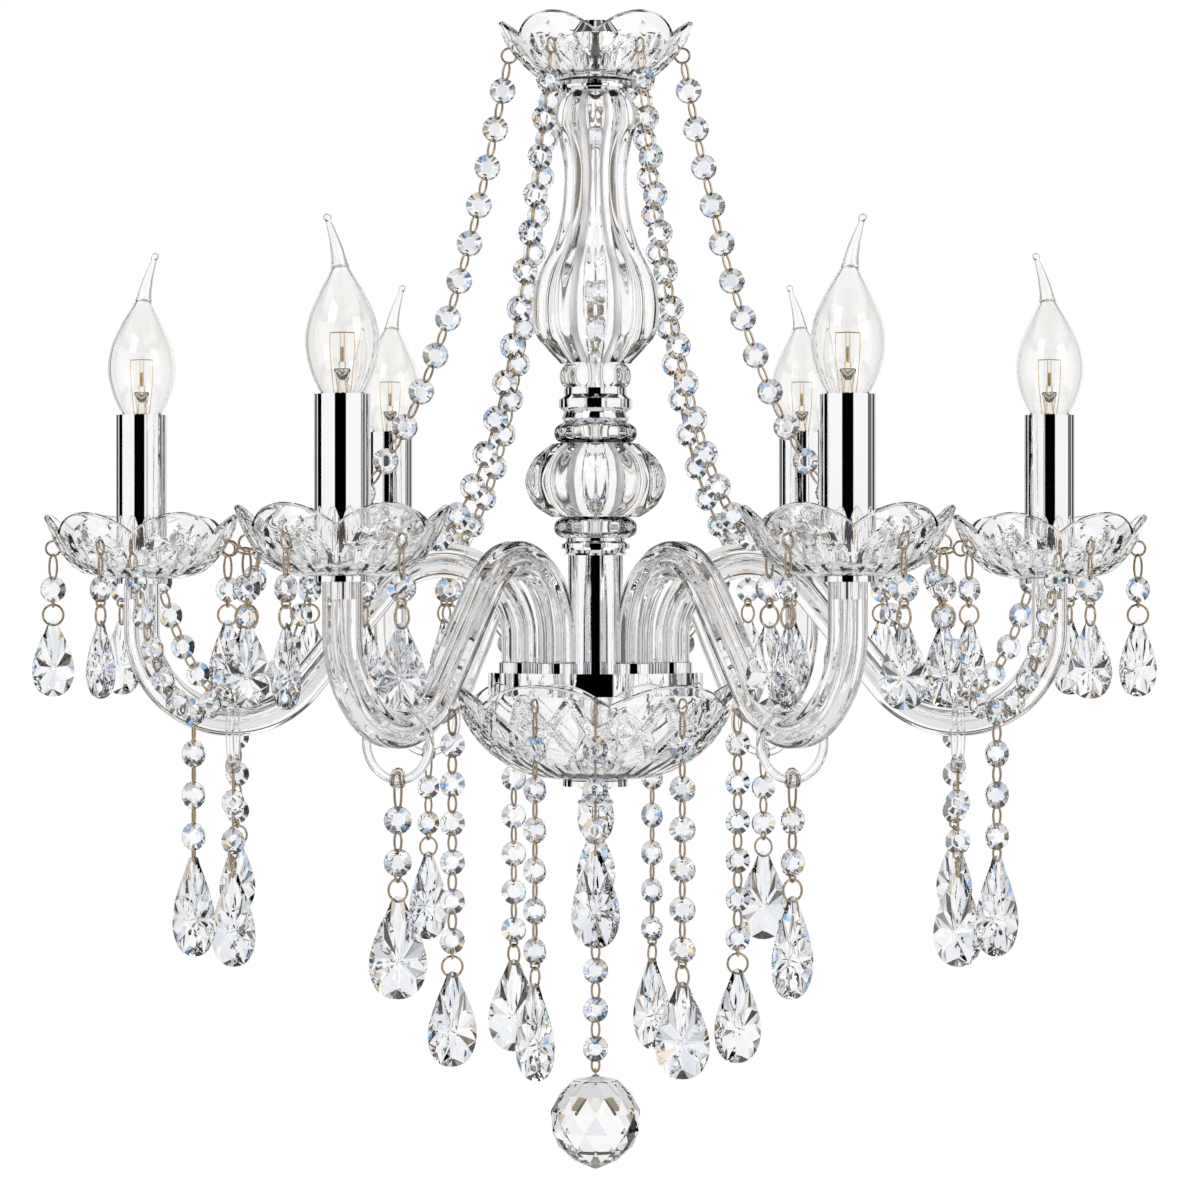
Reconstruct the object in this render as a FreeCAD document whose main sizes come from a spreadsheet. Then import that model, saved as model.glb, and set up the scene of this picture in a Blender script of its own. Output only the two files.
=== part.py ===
"""Six-armed glass candle chandelier, hung from one threaded hole at the top of its column.

The frame is +Z up, in millimetres, with the origin at the mouth of the hanging thread. Arm 1 points
along +X and the others follow every sixth of a turn, counter-clockwise seen from above.
"""
import FreeCAD, Part
import Sketcher
import os
from math import atanh, cos, hypot, log, pi, radians, sin, sinh, sqrt

Vector = FreeCAD.Vector
Rotation = FreeCAD.Rotation
Placement = FreeCAD.Placement

SIZES = [
    ("arm_count", 6),
    ("arm_reach", 236),
    ("arm_radius", 9.5),
    ("arm_bore", 3.2),
    ("arm_foot_reach", 39.8),
    ("arm_crest_radius", 40),
    ("arm_crest_height", 57.3),
    ("arm_dip", 25.2),
    ("arm_slope", 51),
    ("rod_radius", 5),
    ("rod_bore", 3.2),
    ("rod_gap", 0.3),
    ("wire_gap", 0.8),
    ("thread_radius", 4.5),
    ("thread_depth", 10),
    ("cap_height", 28.6),
    ("cap_radius", 14),
    ("cap_crown_radius", 8),
    ("cap_crown_height", 7),
    ("dish_radius", 51.5),
    ("dish_depth", 32.6),
    ("dish_floor", 4),
    ("collar_height", 5.4),
    ("collar_radius", 20.9),
    ("vase_height", 139.8),
    ("vase_radius", 35.2),
    ("vase_wall", 4.5),
    ("vase_foot_height", 13),
    ("vase_foot_radius", 18.7),
    ("ring_height", 17.7),
    ("ring_radius", 19.2),
    ("ball_collar_height", 11),
    ("ball_collar_radius", 21.6),
    ("ball_height", 38),
    ("ball_radius", 35.9),
    ("lower_ring_height", 9),
    ("lower_ring_radius", 17.9),
    ("tube_height", 60.6),
    ("tube_radius", 14.2),
    ("tube_wall", 1),
    ("hub_radius", 55.8),
    ("hub_height", 11.7),
    ("hub_plate", 3),
    ("hub_wall", 1.6),
    ("hub_boss_radius", 9),
    ("hub_boss_length", 39.6),
    ("bowl_radius", 75.5),
    ("bowl_depth", 51),
    ("bowl_floor", 5),
    ("bowl_turn", 6),
    ("finial_height", 18),
    ("finial_radius", 17.2),
    ("finial_socket", 3.2),
    ("eye_radius", 1.9),
    ("eye_height", 4.4),
    ("ferrule_height", 5),
    ("ferrule_wall", 0.8),
    ("stud_radius", 4.6),
    ("stud_length", 8),
    ("nut_width", 14),
    ("nut_height", 3),
    ("cup_rise", 48.5),
    ("cup_radius", 51),
    ("cup_depth", 33.8),
    ("cup_floor", 4),
    ("washer_height", 2.6),
    ("washer_radius", 13.3),
    ("sleeve_height", 81),
    ("sleeve_radius", 13.3),
    ("sleeve_wall", 0.8),
    ("holder_radius", 11),
    ("holder_height", 76),
    ("holder_bore", 7.4),
    ("bulb_radius", 17.5),
    ("bulb_height", 89),
    ("bulb_wall", 0.8),
    ("bulb_cap_radius", 7),
    ("bulb_cap_height", 26),
    ("glass_wall", 3.6),
    ("rim_notch", 10),
    ("flute_count", 12),
    ("bead_width", 13),
    ("bead_depth", 6),
    ("bead_pitch", 20.3),
    ("pin_radius", 0.45),
    ("pin_hole", 1.1),
    ("pin_tilt", 40),
    ("pin_edge", 1.7),
    ("pin_reach", 3.2),
    ("pin_sag", 0.25),
    ("pin_play", 0.1),
    ("loop_pin", 18),
    ("short_pin", 7.6),
    ("long_pin", 14),
    ("drop_edge", 2.6),
    ("hook_radius", 3.8),
    ("hook_bury", 1.6),
    ("hook_spread", 20),
    ("small_drop", 40),
    ("large_drop", 49.5),
    ("crystal_ball_radius", 23.7),
    ("crystal_ball_sides", 12),
    ("loop_radius", 18),
    ("loop_wire", 2.2),
    ("stone_depth_share", 0.36),
    ("flute_depth_share", 0.07),
    ("hook_level_share", 0.5),
    ("bowl_hook_level_share", 0.8),
    ("garland_slack_share", 1.085),
    ("swag_slack_share", 1.48),
    ("overrun", 2),
]

doc = FreeCAD.newDocument("Chandelier")
sheet = doc.addObject("Spreadsheet::Sheet", "Sizes")
for row, (alias, value) in enumerate(SIZES, start=1):
    sheet.set(f"A{row}", alias)
    sheet.set(f"B{row}", str(value))
    sheet.setAlias(f"B{row}", alias)
doc.recompute()

# Every named size as a plain number, read back from the sheet.
S = {alias: float(sheet.get(alias)) for alias, _ in SIZES}
ARMS = int(S["arm_count"])
STEP = 360 / ARMS
OVER = S["overrun"]
UP = Vector(0, 0, 1)
made = []


def tokens(formula):
    return formula.replace("(", " ( ").replace(")", " ) ").split()


def cells(formula):
    """The formula with its aliases turned into references to the sheet."""
    return " ".join(f"Sizes.{word}" if word in S else word for word in tokens(formula))


def worth(formula):
    """The value of the formula."""
    text = " ".join(str(S[word]) if word in S else word for word in tokens(formula))
    return float(FreeCAD.Units.parseQuantity(text).Value)


def keep(feature, name):
    """Labels a finished sub-part and notes it for the checks and the export."""
    feature.Label = name
    made.append(feature)
    return feature


def solid_part(name, shape, placement=Placement()):
    """A sub-part whose form needs a loft, a sweep or many copies of a cut stone."""
    feature = doc.addObject("Part::Feature", name)
    feature.Shape = shape
    feature.Placement = placement
    return keep(feature, name)


def origin_plane(body, role):
    return [plane for plane in body.Origin.OriginFeatures if plane.Role == role][0]


def add_outline(body, name, outline):
    """A closed sketch of (radius, height) formulas on the body's XZ plane, every point bound to the sheet."""
    sketch = body.newObject("Sketcher::SketchObject", name)
    sketch.AttachmentSupport = [(origin_plane(body, "XZ_Plane"), "")]
    sketch.MapMode = "FlatFace"
    doc.recompute()
    points = [Vector(worth(r), worth(z), 0) for r, z in outline]
    count = len(points)
    for i in range(count):
        sketch.addGeometry(Part.LineSegment(points[i], points[(i + 1) % count]), False)
    for i in range(count):
        sketch.addConstraint(Sketcher.Constraint("Coincident", i, 2, (i + 1) % count, 1))
    for i, (r, z) in enumerate(outline):
        for kind, formula in (("DistanceX", r), ("DistanceY", z)):
            where = sketch.addConstraint(Sketcher.Constraint(kind, -1, 1, i, 1, worth(formula)))
            sketch.setExpression(f"Constraints[{where}]", cells(formula))
    return sketch


def turned_body(name, outline, height):
    """A lathe-turned piece, spun about the column's axis, with its underside at the given height."""
    body = doc.addObject("PartDesign::Body", name)
    turn = body.newObject("PartDesign::Revolution", name + "_turn")
    turn.Profile = add_outline(body, name + "_outline", outline)
    turn.ReferenceAxis = (turn.Profile[0], ["V_Axis"])
    turn.Angle = 360
    body.Tip = turn
    body.setExpression("Placement.Base.z", cells(height))
    return keep(body, name)


def add_hole(body, name, plane, place, radius):
    """A round hole right through the body, square to one of its origin planes."""
    sketch = body.newObject("Sketcher::SketchObject", name + "_circle")
    sketch.AttachmentSupport = [(origin_plane(body, plane), "")]
    sketch.MapMode = "FlatFace"
    doc.recompute()
    centre = Vector(worth(place[0]), worth(place[1]), 0)
    sketch.addGeometry(Part.Circle(centre, Vector(0, 0, 1), worth(radius)), False)
    for kind, formula in (("DistanceX", place[0]), ("DistanceY", place[1])):
        where = sketch.addConstraint(Sketcher.Constraint(kind, -1, 1, 0, 3, worth(formula)))
        sketch.setExpression(f"Constraints[{where}]", cells(formula))
    where = sketch.addConstraint(Sketcher.Constraint("Radius", 0, worth(radius)))
    sketch.setExpression(f"Constraints[{where}]", cells(radius))
    before = body.Shape.Volume
    hole = body.newObject("PartDesign::Pocket", name)
    hole.Profile = sketch
    hole.Type = "ThroughAll"
    hole.Midplane = True
    body.Tip = hole
    doc.recompute()
    if body.Shape.Volume >= before:
        raise RuntimeError(name + " cuts nothing")
    return hole


def pipe_part(name, outer, inner, length, height, angle=None):
    """A straight tube cut from two cylinders, on the column or, with an angle, at the end of an arm."""
    outside = doc.addObject("Part::Cylinder", name + "_outside")
    inside = doc.addObject("Part::Cylinder", name + "_inside")
    for cylinder, radius in ((outside, outer), (inside, inner)):
        cylinder.setExpression("Radius", cells(radius))
        cylinder.setExpression("Height", cells(length))
    tube = doc.addObject("Part::Cut", name)
    tube.Base = outside
    tube.Tool = inside
    tube.setExpression("Placement.Base.z", cells(height))
    if angle is not None:
        tube.setExpression("Placement.Base.x", cells(f"arm_reach * {cos(radians(angle)):.9f}"))
        tube.setExpression("Placement.Base.y", cells(f"arm_reach * {sin(radians(angle)):.9f}"))
    return keep(tube, name)


def scaled(shares, radius, height):
    """A table of shares as (radius, height) formulas."""
    return [(f"{r} * {radius}", f"{z} * {height}") for r, z in shares]


def arm_angle(k):
    return k * STEP


def direction(angle):
    return Vector(cos(radians(angle)), sin(radians(angle)), 0)


def around(shape, reach, height, angles):
    """Copies of a shape, each turned to its angle and set that far out from the column."""
    copies = []
    for angle in angles:
        copy = shape.copy()
        copy.Placement = Placement(direction(angle) * reach + UP * height, Rotation(UP, angle))
        copies.append(copy)
    return copies


def drum(radius, low, high, bore=0):
    """A plain cylinder about the vertical axis, bored through if it has a bore."""
    solid = Part.makeCylinder(radius, high - low, UP * low)
    if bore:
        solid = solid.cut(Part.makeCylinder(bore, high - low, UP * low))
    return solid


# The column from the hanging thread downwards: each piece sits on the flat top of the next one.
STACK = {}
depth = "0"
for piece, height in (
    ("cap", "cap_height"),
    ("dish", "dish_floor"),
    ("collar", "collar_height"),
    ("vase", "vase_height"),
    ("vase_foot", "vase_foot_height"),
    ("upper_ring", "ring_height"),
    ("upper_collar", "ball_collar_height"),
    ("ball", "ball_height"),
    ("lower_collar", "ball_collar_height"),
    ("lower_ring", "lower_ring_height"),
    ("tube", "tube_height"),
    ("drum", "hub_height"),
    ("boss", "hub_boss_length"),
    ("bowl", "bowl_floor"),
    ("finial", "finial_height"),
):
    depth = f"{depth} + {height}"
    STACK[piece] = f"-1 * ( {depth} )"

BORE = "( rod_radius + rod_gap )"
HUB_TOP = worth(STACK["tube"])
ARM_FOOT = HUB_TOP + S["ferrule_wall"]
DIP_LEVEL = ARM_FOOT - S["arm_dip"]
CUP_SEAT = HUB_TOP + S["cup_rise"]
SLEEVE_SEAT = CUP_SEAT + S["cup_floor"]
ARM_TOP = CUP_SEAT - S["washer_height"]


def level(piece):
    """The height of the underside of a piece of the column."""
    return worth(STACK[piece])


MOULDING_SHARES = [(0.86, 0), (0.93, 0.12), (0.86, 0.3), (1, 0.42), (1, 0.68), (0.86, 0.82), (0.86, 1)]
BEAD_SHARES = [(0.8, 0), (0.95, 0.2), (1, 0.5), (0.95, 0.8), (0.8, 1)]
FINIAL_SHARES = [
    (0.35, 0.245), (0.52, 0.29), (0.57, 0.36), (0.52, 0.45), (0.35, 0.55), (0.31, 0.65), (0.36, 0.74),
    (0.7, 0.8), (1, 0.84), (1, 1),
]


def bored(shares, radius, height):
    """The outline of a moulding with the rod's bore through it."""
    return [(BORE, "0")] + scaled(shares, radius, height) + [(BORE, height)]


def metal_column():
    """The chrome pieces that the centre rod clamps between the hanging thread and the finial."""
    thread_floor = "( cap_height - thread_depth )"
    turned_body("top_cap", [
        (BORE, "0"), ("cap_radius", "0"), ("cap_radius", "( cap_height - cap_crown_height )"),
        ("cap_crown_radius", "cap_height"), ("thread_radius", "cap_height"),
        ("thread_radius", thread_floor), (BORE, thread_floor),
    ], STACK["cap"])
    for name, piece, radius, height in (
        ("top_collar", "collar", "collar_radius", "collar_height"),
        ("upper_ring", "upper_ring", "ring_radius", "ring_height"),
        ("lower_ring", "lower_ring", "lower_ring_radius", "lower_ring_height"),
    ):
        turned_body(name, bored(MOULDING_SHARES, radius, height), STACK[piece])
    pipe_part("column_tube", "tube_radius", "tube_radius - tube_wall", "tube_height", STACK["tube"])
    rod_foot = f"{STACK['bowl']} - finial_socket"
    pipe_part("centre_rod", "rod_radius", "rod_bore", f"-1 * ( {rod_foot} ) - thread_depth", rod_foot)


def finial():
    """The turned end piece under the bowl, with a socket for the rod and a cross-drilled eye."""
    socket_floor = "( finial_height - finial_socket - rod_gap )"
    outline = [("0", "0"), ("eye_radius", "0"), ("eye_radius", "eye_height")]
    outline += scaled(FINIAL_SHARES, "finial_radius", "finial_height")
    outline += [(BORE, "finial_height"), (BORE, socket_floor), ("0", socket_floor)]
    body = turned_body("finial", outline, STACK["finial"])
    doc.recompute()
    add_hole(body, "finial_eye", "XZ_Plane", ("0", "eye_height / 2"), "pin_hole")


def hub():
    """The drum that carries the arms: a plate, a rim and a boss down to the bowl, with a hole for each arm."""
    top = "( hub_height + hub_boss_length )"
    under = "( hub_height + hub_boss_length - hub_plate )"
    body = turned_body("hub", [
        (BORE, "0"), ("hub_boss_radius", "0"), ("hub_boss_radius", under), ("hub_radius - hub_wall", under),
        ("hub_radius - hub_wall", "hub_boss_length"), ("hub_radius", "hub_boss_length"),
        ("hub_radius", top), (BORE, top),
    ], STACK["boss"])
    doc.recompute()
    hole = add_hole(body, "arm_hole", "XY_Plane", ("arm_foot_reach", "0"), "stud_radius + rod_gap")
    before = body.Shape.Volume
    pattern = body.newObject("PartDesign::PolarPattern", "arm_holes")
    pattern.Originals = [hole]
    pattern.Axis = (hole.Profile[0], ["N_Axis"])
    pattern.Angle = 360
    pattern.setExpression("Occurrences", cells("arm_count"))
    body.Tip = pattern
    doc.recompute()
    if body.Shape.Volume >= before:
        raise RuntimeError("the arm holes are missing")


# Heights and radii of the two fluted glass pieces, as shares of their height and their widest radius.
VASE_SHARES = [
    (0, 0.53), (0.06, 0.76), (0.12, 0.92), (0.22, 0.955), (0.32, 0.88), (0.42, 0.68), (0.52, 0.545),
    (0.62, 0.485), (0.74, 0.478), (0.84, 0.56), (0.9, 0.64), (0.96, 0.6), (1, 0.5),
]
BALL_SHARES = [(0, 0.62), (0.1, 0.79), (0.25, 0.93), (0.5, 1), (0.75, 0.91), (0.9, 0.76), (1, 0.62)]


def fluted(shares, radius, height):
    """A hollow glass body lofted through wavy rings, open at both ends where its neighbours close it."""
    flutes = int(S["flute_count"])
    rings = []
    hollow = []
    for rise, width in shares:
        ring_radius = width * radius
        groove = ring_radius * S["flute_depth_share"]
        points = []
        for i in range(2 * flutes):
            reach = ring_radius - groove * (i % 2)
            points.append(direction(i * 180 / flutes) * reach + UP * rise * height)
        curve = Part.BSplineCurve()
        curve.interpolate(points, PeriodicFlag=True)
        rings.append(Part.Wire(curve.toShape()))
        hollow.append(Vector(ring_radius - groove - S["vase_wall"], 0, rise * height))
    core = Part.BSplineCurve()
    core.interpolate(hollow)
    low = UP * 0
    high = UP * height
    wall = Part.Wire([core.toShape(), Part.makeLine(hollow[-1], high), Part.makeLine(high, low),
                      Part.makeLine(low, hollow[0])])
    inside = Part.Face(wall).revolve(Vector(), UP, 360)
    return Part.makeLoft(rings, True, False).cut(inside)


def glass_column():
    solid_part("vase", fluted(VASE_SHARES, S["vase_radius"], S["vase_height"]),
               Placement(UP * level("vase"), Rotation()))
    solid_part("lobed_ball", fluted(BALL_SHARES, S["ball_radius"], S["ball_height"]),
               Placement(UP * level("ball"), Rotation()))
    turned_body("vase_foot_bead", bored(BEAD_SHARES, "vase_foot_radius", "vase_foot_height"), STACK["vase_foot"])
    bead = [Vector(worth(r), 0, worth(z)) for r, z in bored(BEAD_SHARES, "ball_collar_radius", "ball_collar_height")]
    collar = Part.Face(Part.makePolygon(bead + bead[:1])).revolve(Vector(), UP, 360)
    solid_part("ball_collars", Part.makeCompound([
        collar.translated(UP * level("upper_collar")),
        collar.translated(UP * level("lower_collar")),
    ]))


# Outlines of the pressed glass dishes from the foot to just past the rim, as shares of radius and depth.
CUP_SHARES = [(0.4, 0), (0.62, 0.1), (0.8, 0.35), (0.93, 0.7), (1, 1), (1.03, 1.16)]
DISH_SHARES = [(0.44, 0), (0.58, 0.1), (0.78, 0.38), (0.92, 0.7), (1, 1), (1.04, 1.16)]
BOWL_SHARES = [(0.21, 0), (0.5, 0.08), (0.75, 0.3), (0.92, 0.65), (1, 1), (1.025, 1.16)]


def outline_curve(shares, radius, low, high):
    curve = Part.BSplineCurve()
    curve.interpolate([Vector(r * radius, 0, low + z * (high - low)) for r, z in shares])
    return curve


def on_wall(shares, radius, depth, height):
    """The point of a dish's outer wall at a height, and the outward normal there, both in the XZ plane."""
    curve = outline_curve(shares, radius, 0, depth)
    low = curve.FirstParameter
    high = curve.LastParameter
    while high - low > 1e-6:
        middle = (low + high) / 2
        if curve.value(middle).z < height:
            low = middle
        else:
            high = middle
    along = curve.tangent(low)[0]
    return curve.value(low), Vector(along.z, 0, -along.x)


def lobed_dish(shares, radius, depth, floor, bore, turn=0):
    """A pressed glass dish with one lobe of its rim for each arm, and a hole through its floor."""
    outside = outline_curve(shares, radius, 0, depth)
    inside = outline_curve(shares, radius - S["glass_wall"], floor, depth)
    ends = [curve.value(at) for curve in (outside, inside) for at in (curve.FirstParameter, curve.LastParameter)]
    foot, rim, inner_foot, inner_rim = ends
    sides = [
        outside.toShape(),
        Part.makeLine(rim, inner_rim),
        inside.toShape(),
        Part.makeLine(inner_foot, Vector(bore, 0, floor)),
        Part.makeLine(Vector(bore, 0, floor), Vector(bore, 0, 0)),
        Part.makeLine(Vector(bore, 0, 0), foot),
    ]
    bowl = Part.Face(Part.Wire(sides)).revolve(Vector(), UP, 360)
    notch = on_wall(shares, radius, depth, depth - S["rim_notch"] / 2)[0].x
    sweep = notch * sin(radians(STEP / 2))
    fall = (sweep ** 2 + S["rim_notch"] ** 2) / (2 * S["rim_notch"])
    arcs = []
    lobes = []
    for k in range(ARMS):
        middle = arm_angle(k) + turn
        ends = [direction(middle + side * STEP / 2) * notch for side in (-1, 1)]
        arcs.append(Part.Arc(ends[0], direction(middle) * radius, ends[1]).toShape())
        lobes.append(Part.makeCylinder(fall, 2 * radius, UP * (depth - fall), direction(middle)))
    mould = Part.Face(Part.Wire(arcs)).extrude(UP * (depth + radius))
    return bowl.common(mould).common(lobes[0].fuse(lobes[1:]))


def hook_centre(shares, radius, depth, share):
    """The middle of a wire hook let into a dish's outer wall, in the XZ plane."""
    point, normal = on_wall(shares, radius, depth, depth * share)
    return point + normal * (S["hook_radius"] - S["hook_bury"])


def hook(centre, angle, wire, seam=0):
    """A wire ring that stands in the upright plane at an angle, about the given middle in the XZ plane."""
    ring = Part.makeTorus(S["hook_radius"], wire, centre, Vector(0, 1, 0))
    ring.rotate(centre, Vector(0, 1, 0), seam)
    ring.rotate(Vector(), UP, angle)
    return ring


# A ring whose seam runs through the glass can leave its tunnel uncut, so the next turn of it is tried.
SEAM_TURNS = (0, 120, 240, 60, 180)


def pierced(dish, centre, angles):
    """The dish with a tunnel for each hook that it carries."""
    for angle in angles:
        wire = hook(centre, angle, S["pin_radius"])
        for seam in SEAM_TURNS:
            cut = dish.cut(hook(centre, angle, S["pin_hole"], seam))
            if len(cut.Solids) == 1 and not cut.common(wire).Solids:
                break
        else:
            raise RuntimeError("a hook's tunnel is missing")
        dish = cut
    return dish


CUP_HOOK = hook_centre(CUP_SHARES, S["cup_radius"], S["cup_depth"], S["hook_level_share"])
DISH_HOOK = hook_centre(DISH_SHARES, S["dish_radius"], S["dish_depth"], S["hook_level_share"])
BOWL_HOOK = hook_centre(BOWL_SHARES, S["bowl_radius"], S["bowl_depth"], S["bowl_hook_level_share"])
SPREAD = S["hook_spread"]
# Angles of a cup's hooks from the outward direction of its arm.
PENDANT_ANGLES = (0, 90 - SPREAD, 180 + SPREAD, 270 + SPREAD)
SWAG_ANGLES = (90, 270)
GARLAND_ANGLE = 180
SHORT_BOWL_CHAINS = (270, 90)


def bowl_angles():
    return [arm_angle(k) + S["bowl_turn"] for k in range(ARMS)]


def glass_dishes():
    """The dish at the top, the bowl under the hub and the drip pan under each candle."""
    bore = worth(BORE)
    dish = lobed_dish(DISH_SHARES, S["dish_radius"], S["dish_depth"], S["dish_floor"], bore)
    dish = pierced(dish, DISH_HOOK, [arm_angle(k) for k in range(ARMS)])
    solid_part("top_dish", dish, Placement(UP * level("dish"), Rotation()))
    bowl = lobed_dish(BOWL_SHARES, S["bowl_radius"], S["bowl_depth"], S["bowl_floor"], bore, S["bowl_turn"])
    bowl = pierced(bowl, BOWL_HOOK, bowl_angles() + list(SHORT_BOWL_CHAINS))
    solid_part("bowl", bowl, Placement(UP * level("bowl"), Rotation()))
    stud_hole = S["stud_radius"] + S["rod_gap"]
    cup = lobed_dish(CUP_SHARES, S["cup_radius"], S["cup_depth"], S["cup_floor"], stud_hole)
    cup = pierced(cup, CUP_HOOK, list(PENDANT_ANGLES) + list(SWAG_ANGLES) + [GARLAND_ANGLE])
    for k in range(ARMS):
        place = Placement(direction(arm_angle(k)) * S["arm_reach"] + UP * CUP_SEAT, Rotation(UP, arm_angle(k)))
        solid_part(f"cup_{k + 1}", cup, place)


def arm_spine(low, high):
    """The arm's centre line in the XZ plane: up from the hub, over the crest, down, through the dip and up."""
    slope = radians(S["arm_slope"])
    foot = S["arm_foot_reach"]
    crest = S["arm_crest_radius"]
    top = ARM_FOOT + S["arm_crest_height"]
    reach = S["arm_reach"]
    first = Vector(foot + crest, 0, top - crest)
    leave = first + Vector(sin(slope), 0, cos(slope)) * crest
    drop = leave.z - DIP_LEVEL - sin(slope) / cos(slope) * (reach - leave.x)
    dip = drop / ((1 - cos(slope)) - sin(slope) / cos(slope) * (1 + sin(slope)))
    second = Vector(reach - dip, 0, DIP_LEVEL + dip)
    meet = second - Vector(sin(slope), 0, cos(slope)) * dip
    over = first + UP * crest
    bottom = second - UP * dip
    start = first - Vector(crest, 0, 0)
    finish = second + Vector(dip, 0, 0)
    edges = [
        Part.makeLine(Vector(foot, 0, low), start),
        Part.Arc(start, over, leave).toShape(),
        Part.makeLine(leave, meet),
        Part.Arc(meet, bottom, finish).toShape(),
        Part.makeLine(finish, Vector(reach, 0, high)),
    ]
    return Part.Wire(edges), bottom


def along_spine(spine, radius):
    """A round bar that follows the arm's centre line."""
    start = spine.Vertexes[0].Point
    profile = Part.Wire(Part.Circle(start, UP, radius).toShape())
    return spine.makePipeShell([profile], True, False)


def arms():
    """The glass arms, bored for their wires, with a socket at the end for the lamp holder's stud."""
    spine = arm_spine(ARM_FOOT, ARM_TOP)[0]
    bar = along_spine(spine, S["arm_radius"])
    bore = along_spine(arm_spine(ARM_FOOT - OVER, ARM_TOP + OVER)[0], S["arm_bore"])
    socket = drum(S["stud_radius"] + S["rod_gap"], ARM_TOP - S["stud_length"] - S["rod_gap"], ARM_TOP + OVER)
    arm = bar.cut(bore).cut(socket.translated(Vector(S["arm_reach"], 0, 0)))
    for k in range(ARMS):
        solid_part(f"arm_{k + 1}", arm, Placement(Vector(), Rotation(UP, arm_angle(k))))


def arm_fastenings():
    """A ferrule with a hollow stud under each arm, and the nut that holds it to the hub's plate."""
    angles = [arm_angle(k) for k in range(ARMS)]
    socket = S["arm_radius"] + S["rod_gap"]
    cup = drum(socket + S["ferrule_wall"], 0, S["ferrule_height"])
    cup = cup.cut(drum(socket, S["ferrule_wall"], S["ferrule_height"]))
    ferrule = cup.fuse(drum(S["stud_radius"], -S["stud_length"], 0)).removeSplitter()
    ferrule = ferrule.cut(drum(S["arm_bore"], -S["stud_length"], S["ferrule_wall"]))
    solid_part("arm_ferrules", Part.makeCompound(around(ferrule, S["arm_foot_reach"], HUB_TOP, angles)))
    corners = [direction(60 * i) * (S["nut_width"] / sqrt(3)) for i in range(7)]
    nut = Part.Face(Part.makePolygon(corners)).extrude(UP * S["nut_height"])
    nut = nut.cut(drum(S["stud_radius"] + S["rod_gap"], 0, S["nut_height"]))
    under_plate = HUB_TOP - S["hub_plate"] - S["nut_height"]
    solid_part("arm_nuts", Part.makeCompound(around(nut, S["arm_foot_reach"], under_plate, angles)))


def wires():
    """The sheathed lead in each arm, from the drum to its lamp holder, and the supply lead in the rod."""
    socket_floor = SLEEVE_SEAT + S["holder_height"] - S["bulb_cap_height"]
    spine = arm_spine(HUB_TOP - S["stud_length"] - OVER, socket_floor - S["rod_gap"])[0]
    lead = along_spine(spine, S["arm_bore"] - S["wire_gap"])
    leads = around(lead, 0, 0, [arm_angle(k) for k in range(ARMS)])
    leads.append(drum(S["rod_bore"] - S["wire_gap"], level("drum"), -S["thread_depth"]))
    solid_part("wires", Part.makeCompound(leads))


def candles():
    """At the end of each arm: a washer, the lamp holder with its stud, and the chrome candle sleeve."""
    angles = [arm_angle(k) for k in range(ARMS)]
    reach = S["arm_reach"]
    stud_hole = S["stud_radius"] + S["rod_gap"]
    washer = drum(S["washer_radius"], ARM_TOP, CUP_SEAT, stud_hole)
    solid_part("cup_washers", Part.makeCompound(around(washer, reach, 0, angles)))
    stud = S["cup_floor"] + S["washer_height"] + S["stud_length"]
    top = S["holder_height"]
    holder = drum(S["holder_radius"], 0, top).fuse(drum(S["stud_radius"], -stud, 0)).removeSplitter()
    holder = holder.cut(drum(S["arm_bore"], -stud, top))
    holder = holder.cut(drum(S["holder_bore"], top - S["bulb_cap_height"], top))
    solid_part("lamp_holders", Part.makeCompound(around(holder, reach, SLEEVE_SEAT, angles)))
    seat = STACK["tube"] + " + cup_rise + cup_floor"
    for k in range(ARMS):
        pipe_part(f"candle_sleeve_{k + 1}", "sleeve_radius", "sleeve_radius - sleeve_wall", "sleeve_height",
                  seat, arm_angle(k))


# Rows of a flame-tip bulb from its cap upwards: share of height, share of radius, sideways share of radius.
BULB_SHARES = [
    (0, 0.4, 0), (0.053, 0.57, 0), (0.17, 0.85, 0), (0.31, 1, 0), (0.45, 0.91, 0), (0.59, 0.6, 0.01),
    (0.715, 0.26, 0.05), (0.83, 0.165, 0.16), (0.93, 0.12, 0.3), (1, 0.07, 0.4),
]
STEM_SHARES = [(0, 0.32), (0.05, 0.27), (0.13, 0.13), (0.3, 0.1), (0.36, 0.16), (0.4, 0.06)]
# Which way each bent tip points.
TIP_ANGLES = (180, 180, 0, 0, 180, 0)


def bulb_envelope(rows, wall):
    rings = []
    for rise, width, shift in rows:
        centre = Vector(shift * S["bulb_radius"], 0, rise * S["bulb_height"])
        rings.append(Part.Wire(Part.Circle(centre, UP, width * S["bulb_radius"] - wall).toShape()))
    return Part.makeLoft(rings, True, False)


def bulbs():
    """Candle lamps: a thin glass envelope with a bent tip, a glass stem inside it and a screw cap below."""
    glass = bulb_envelope(BULB_SHARES, 0).cut(bulb_envelope(BULB_SHARES[:-2], S["bulb_wall"]))
    points = [Vector(width * S["bulb_radius"], 0, rise * S["bulb_height"]) for rise, width in STEM_SHARES]
    points = [UP * 0] + points + [UP * points[-1].z]
    stem = Part.Face(Part.makePolygon(points + points[:1])).revolve(Vector(), UP, 360)
    cap = drum(S["bulb_cap_radius"], S["rod_gap"] - S["bulb_cap_height"], 0)
    lamp = Part.makeCompound([glass, stem, cap])
    seat = SLEEVE_SEAT + S["holder_height"] + S["rod_gap"]
    for k in range(ARMS):
        place = Placement(direction(arm_angle(k)) * S["arm_reach"] + UP * seat, Rotation(UP, TIP_ANGLES[k]))
        solid_part(f"bulb_{k + 1}", lamp, place)


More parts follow.
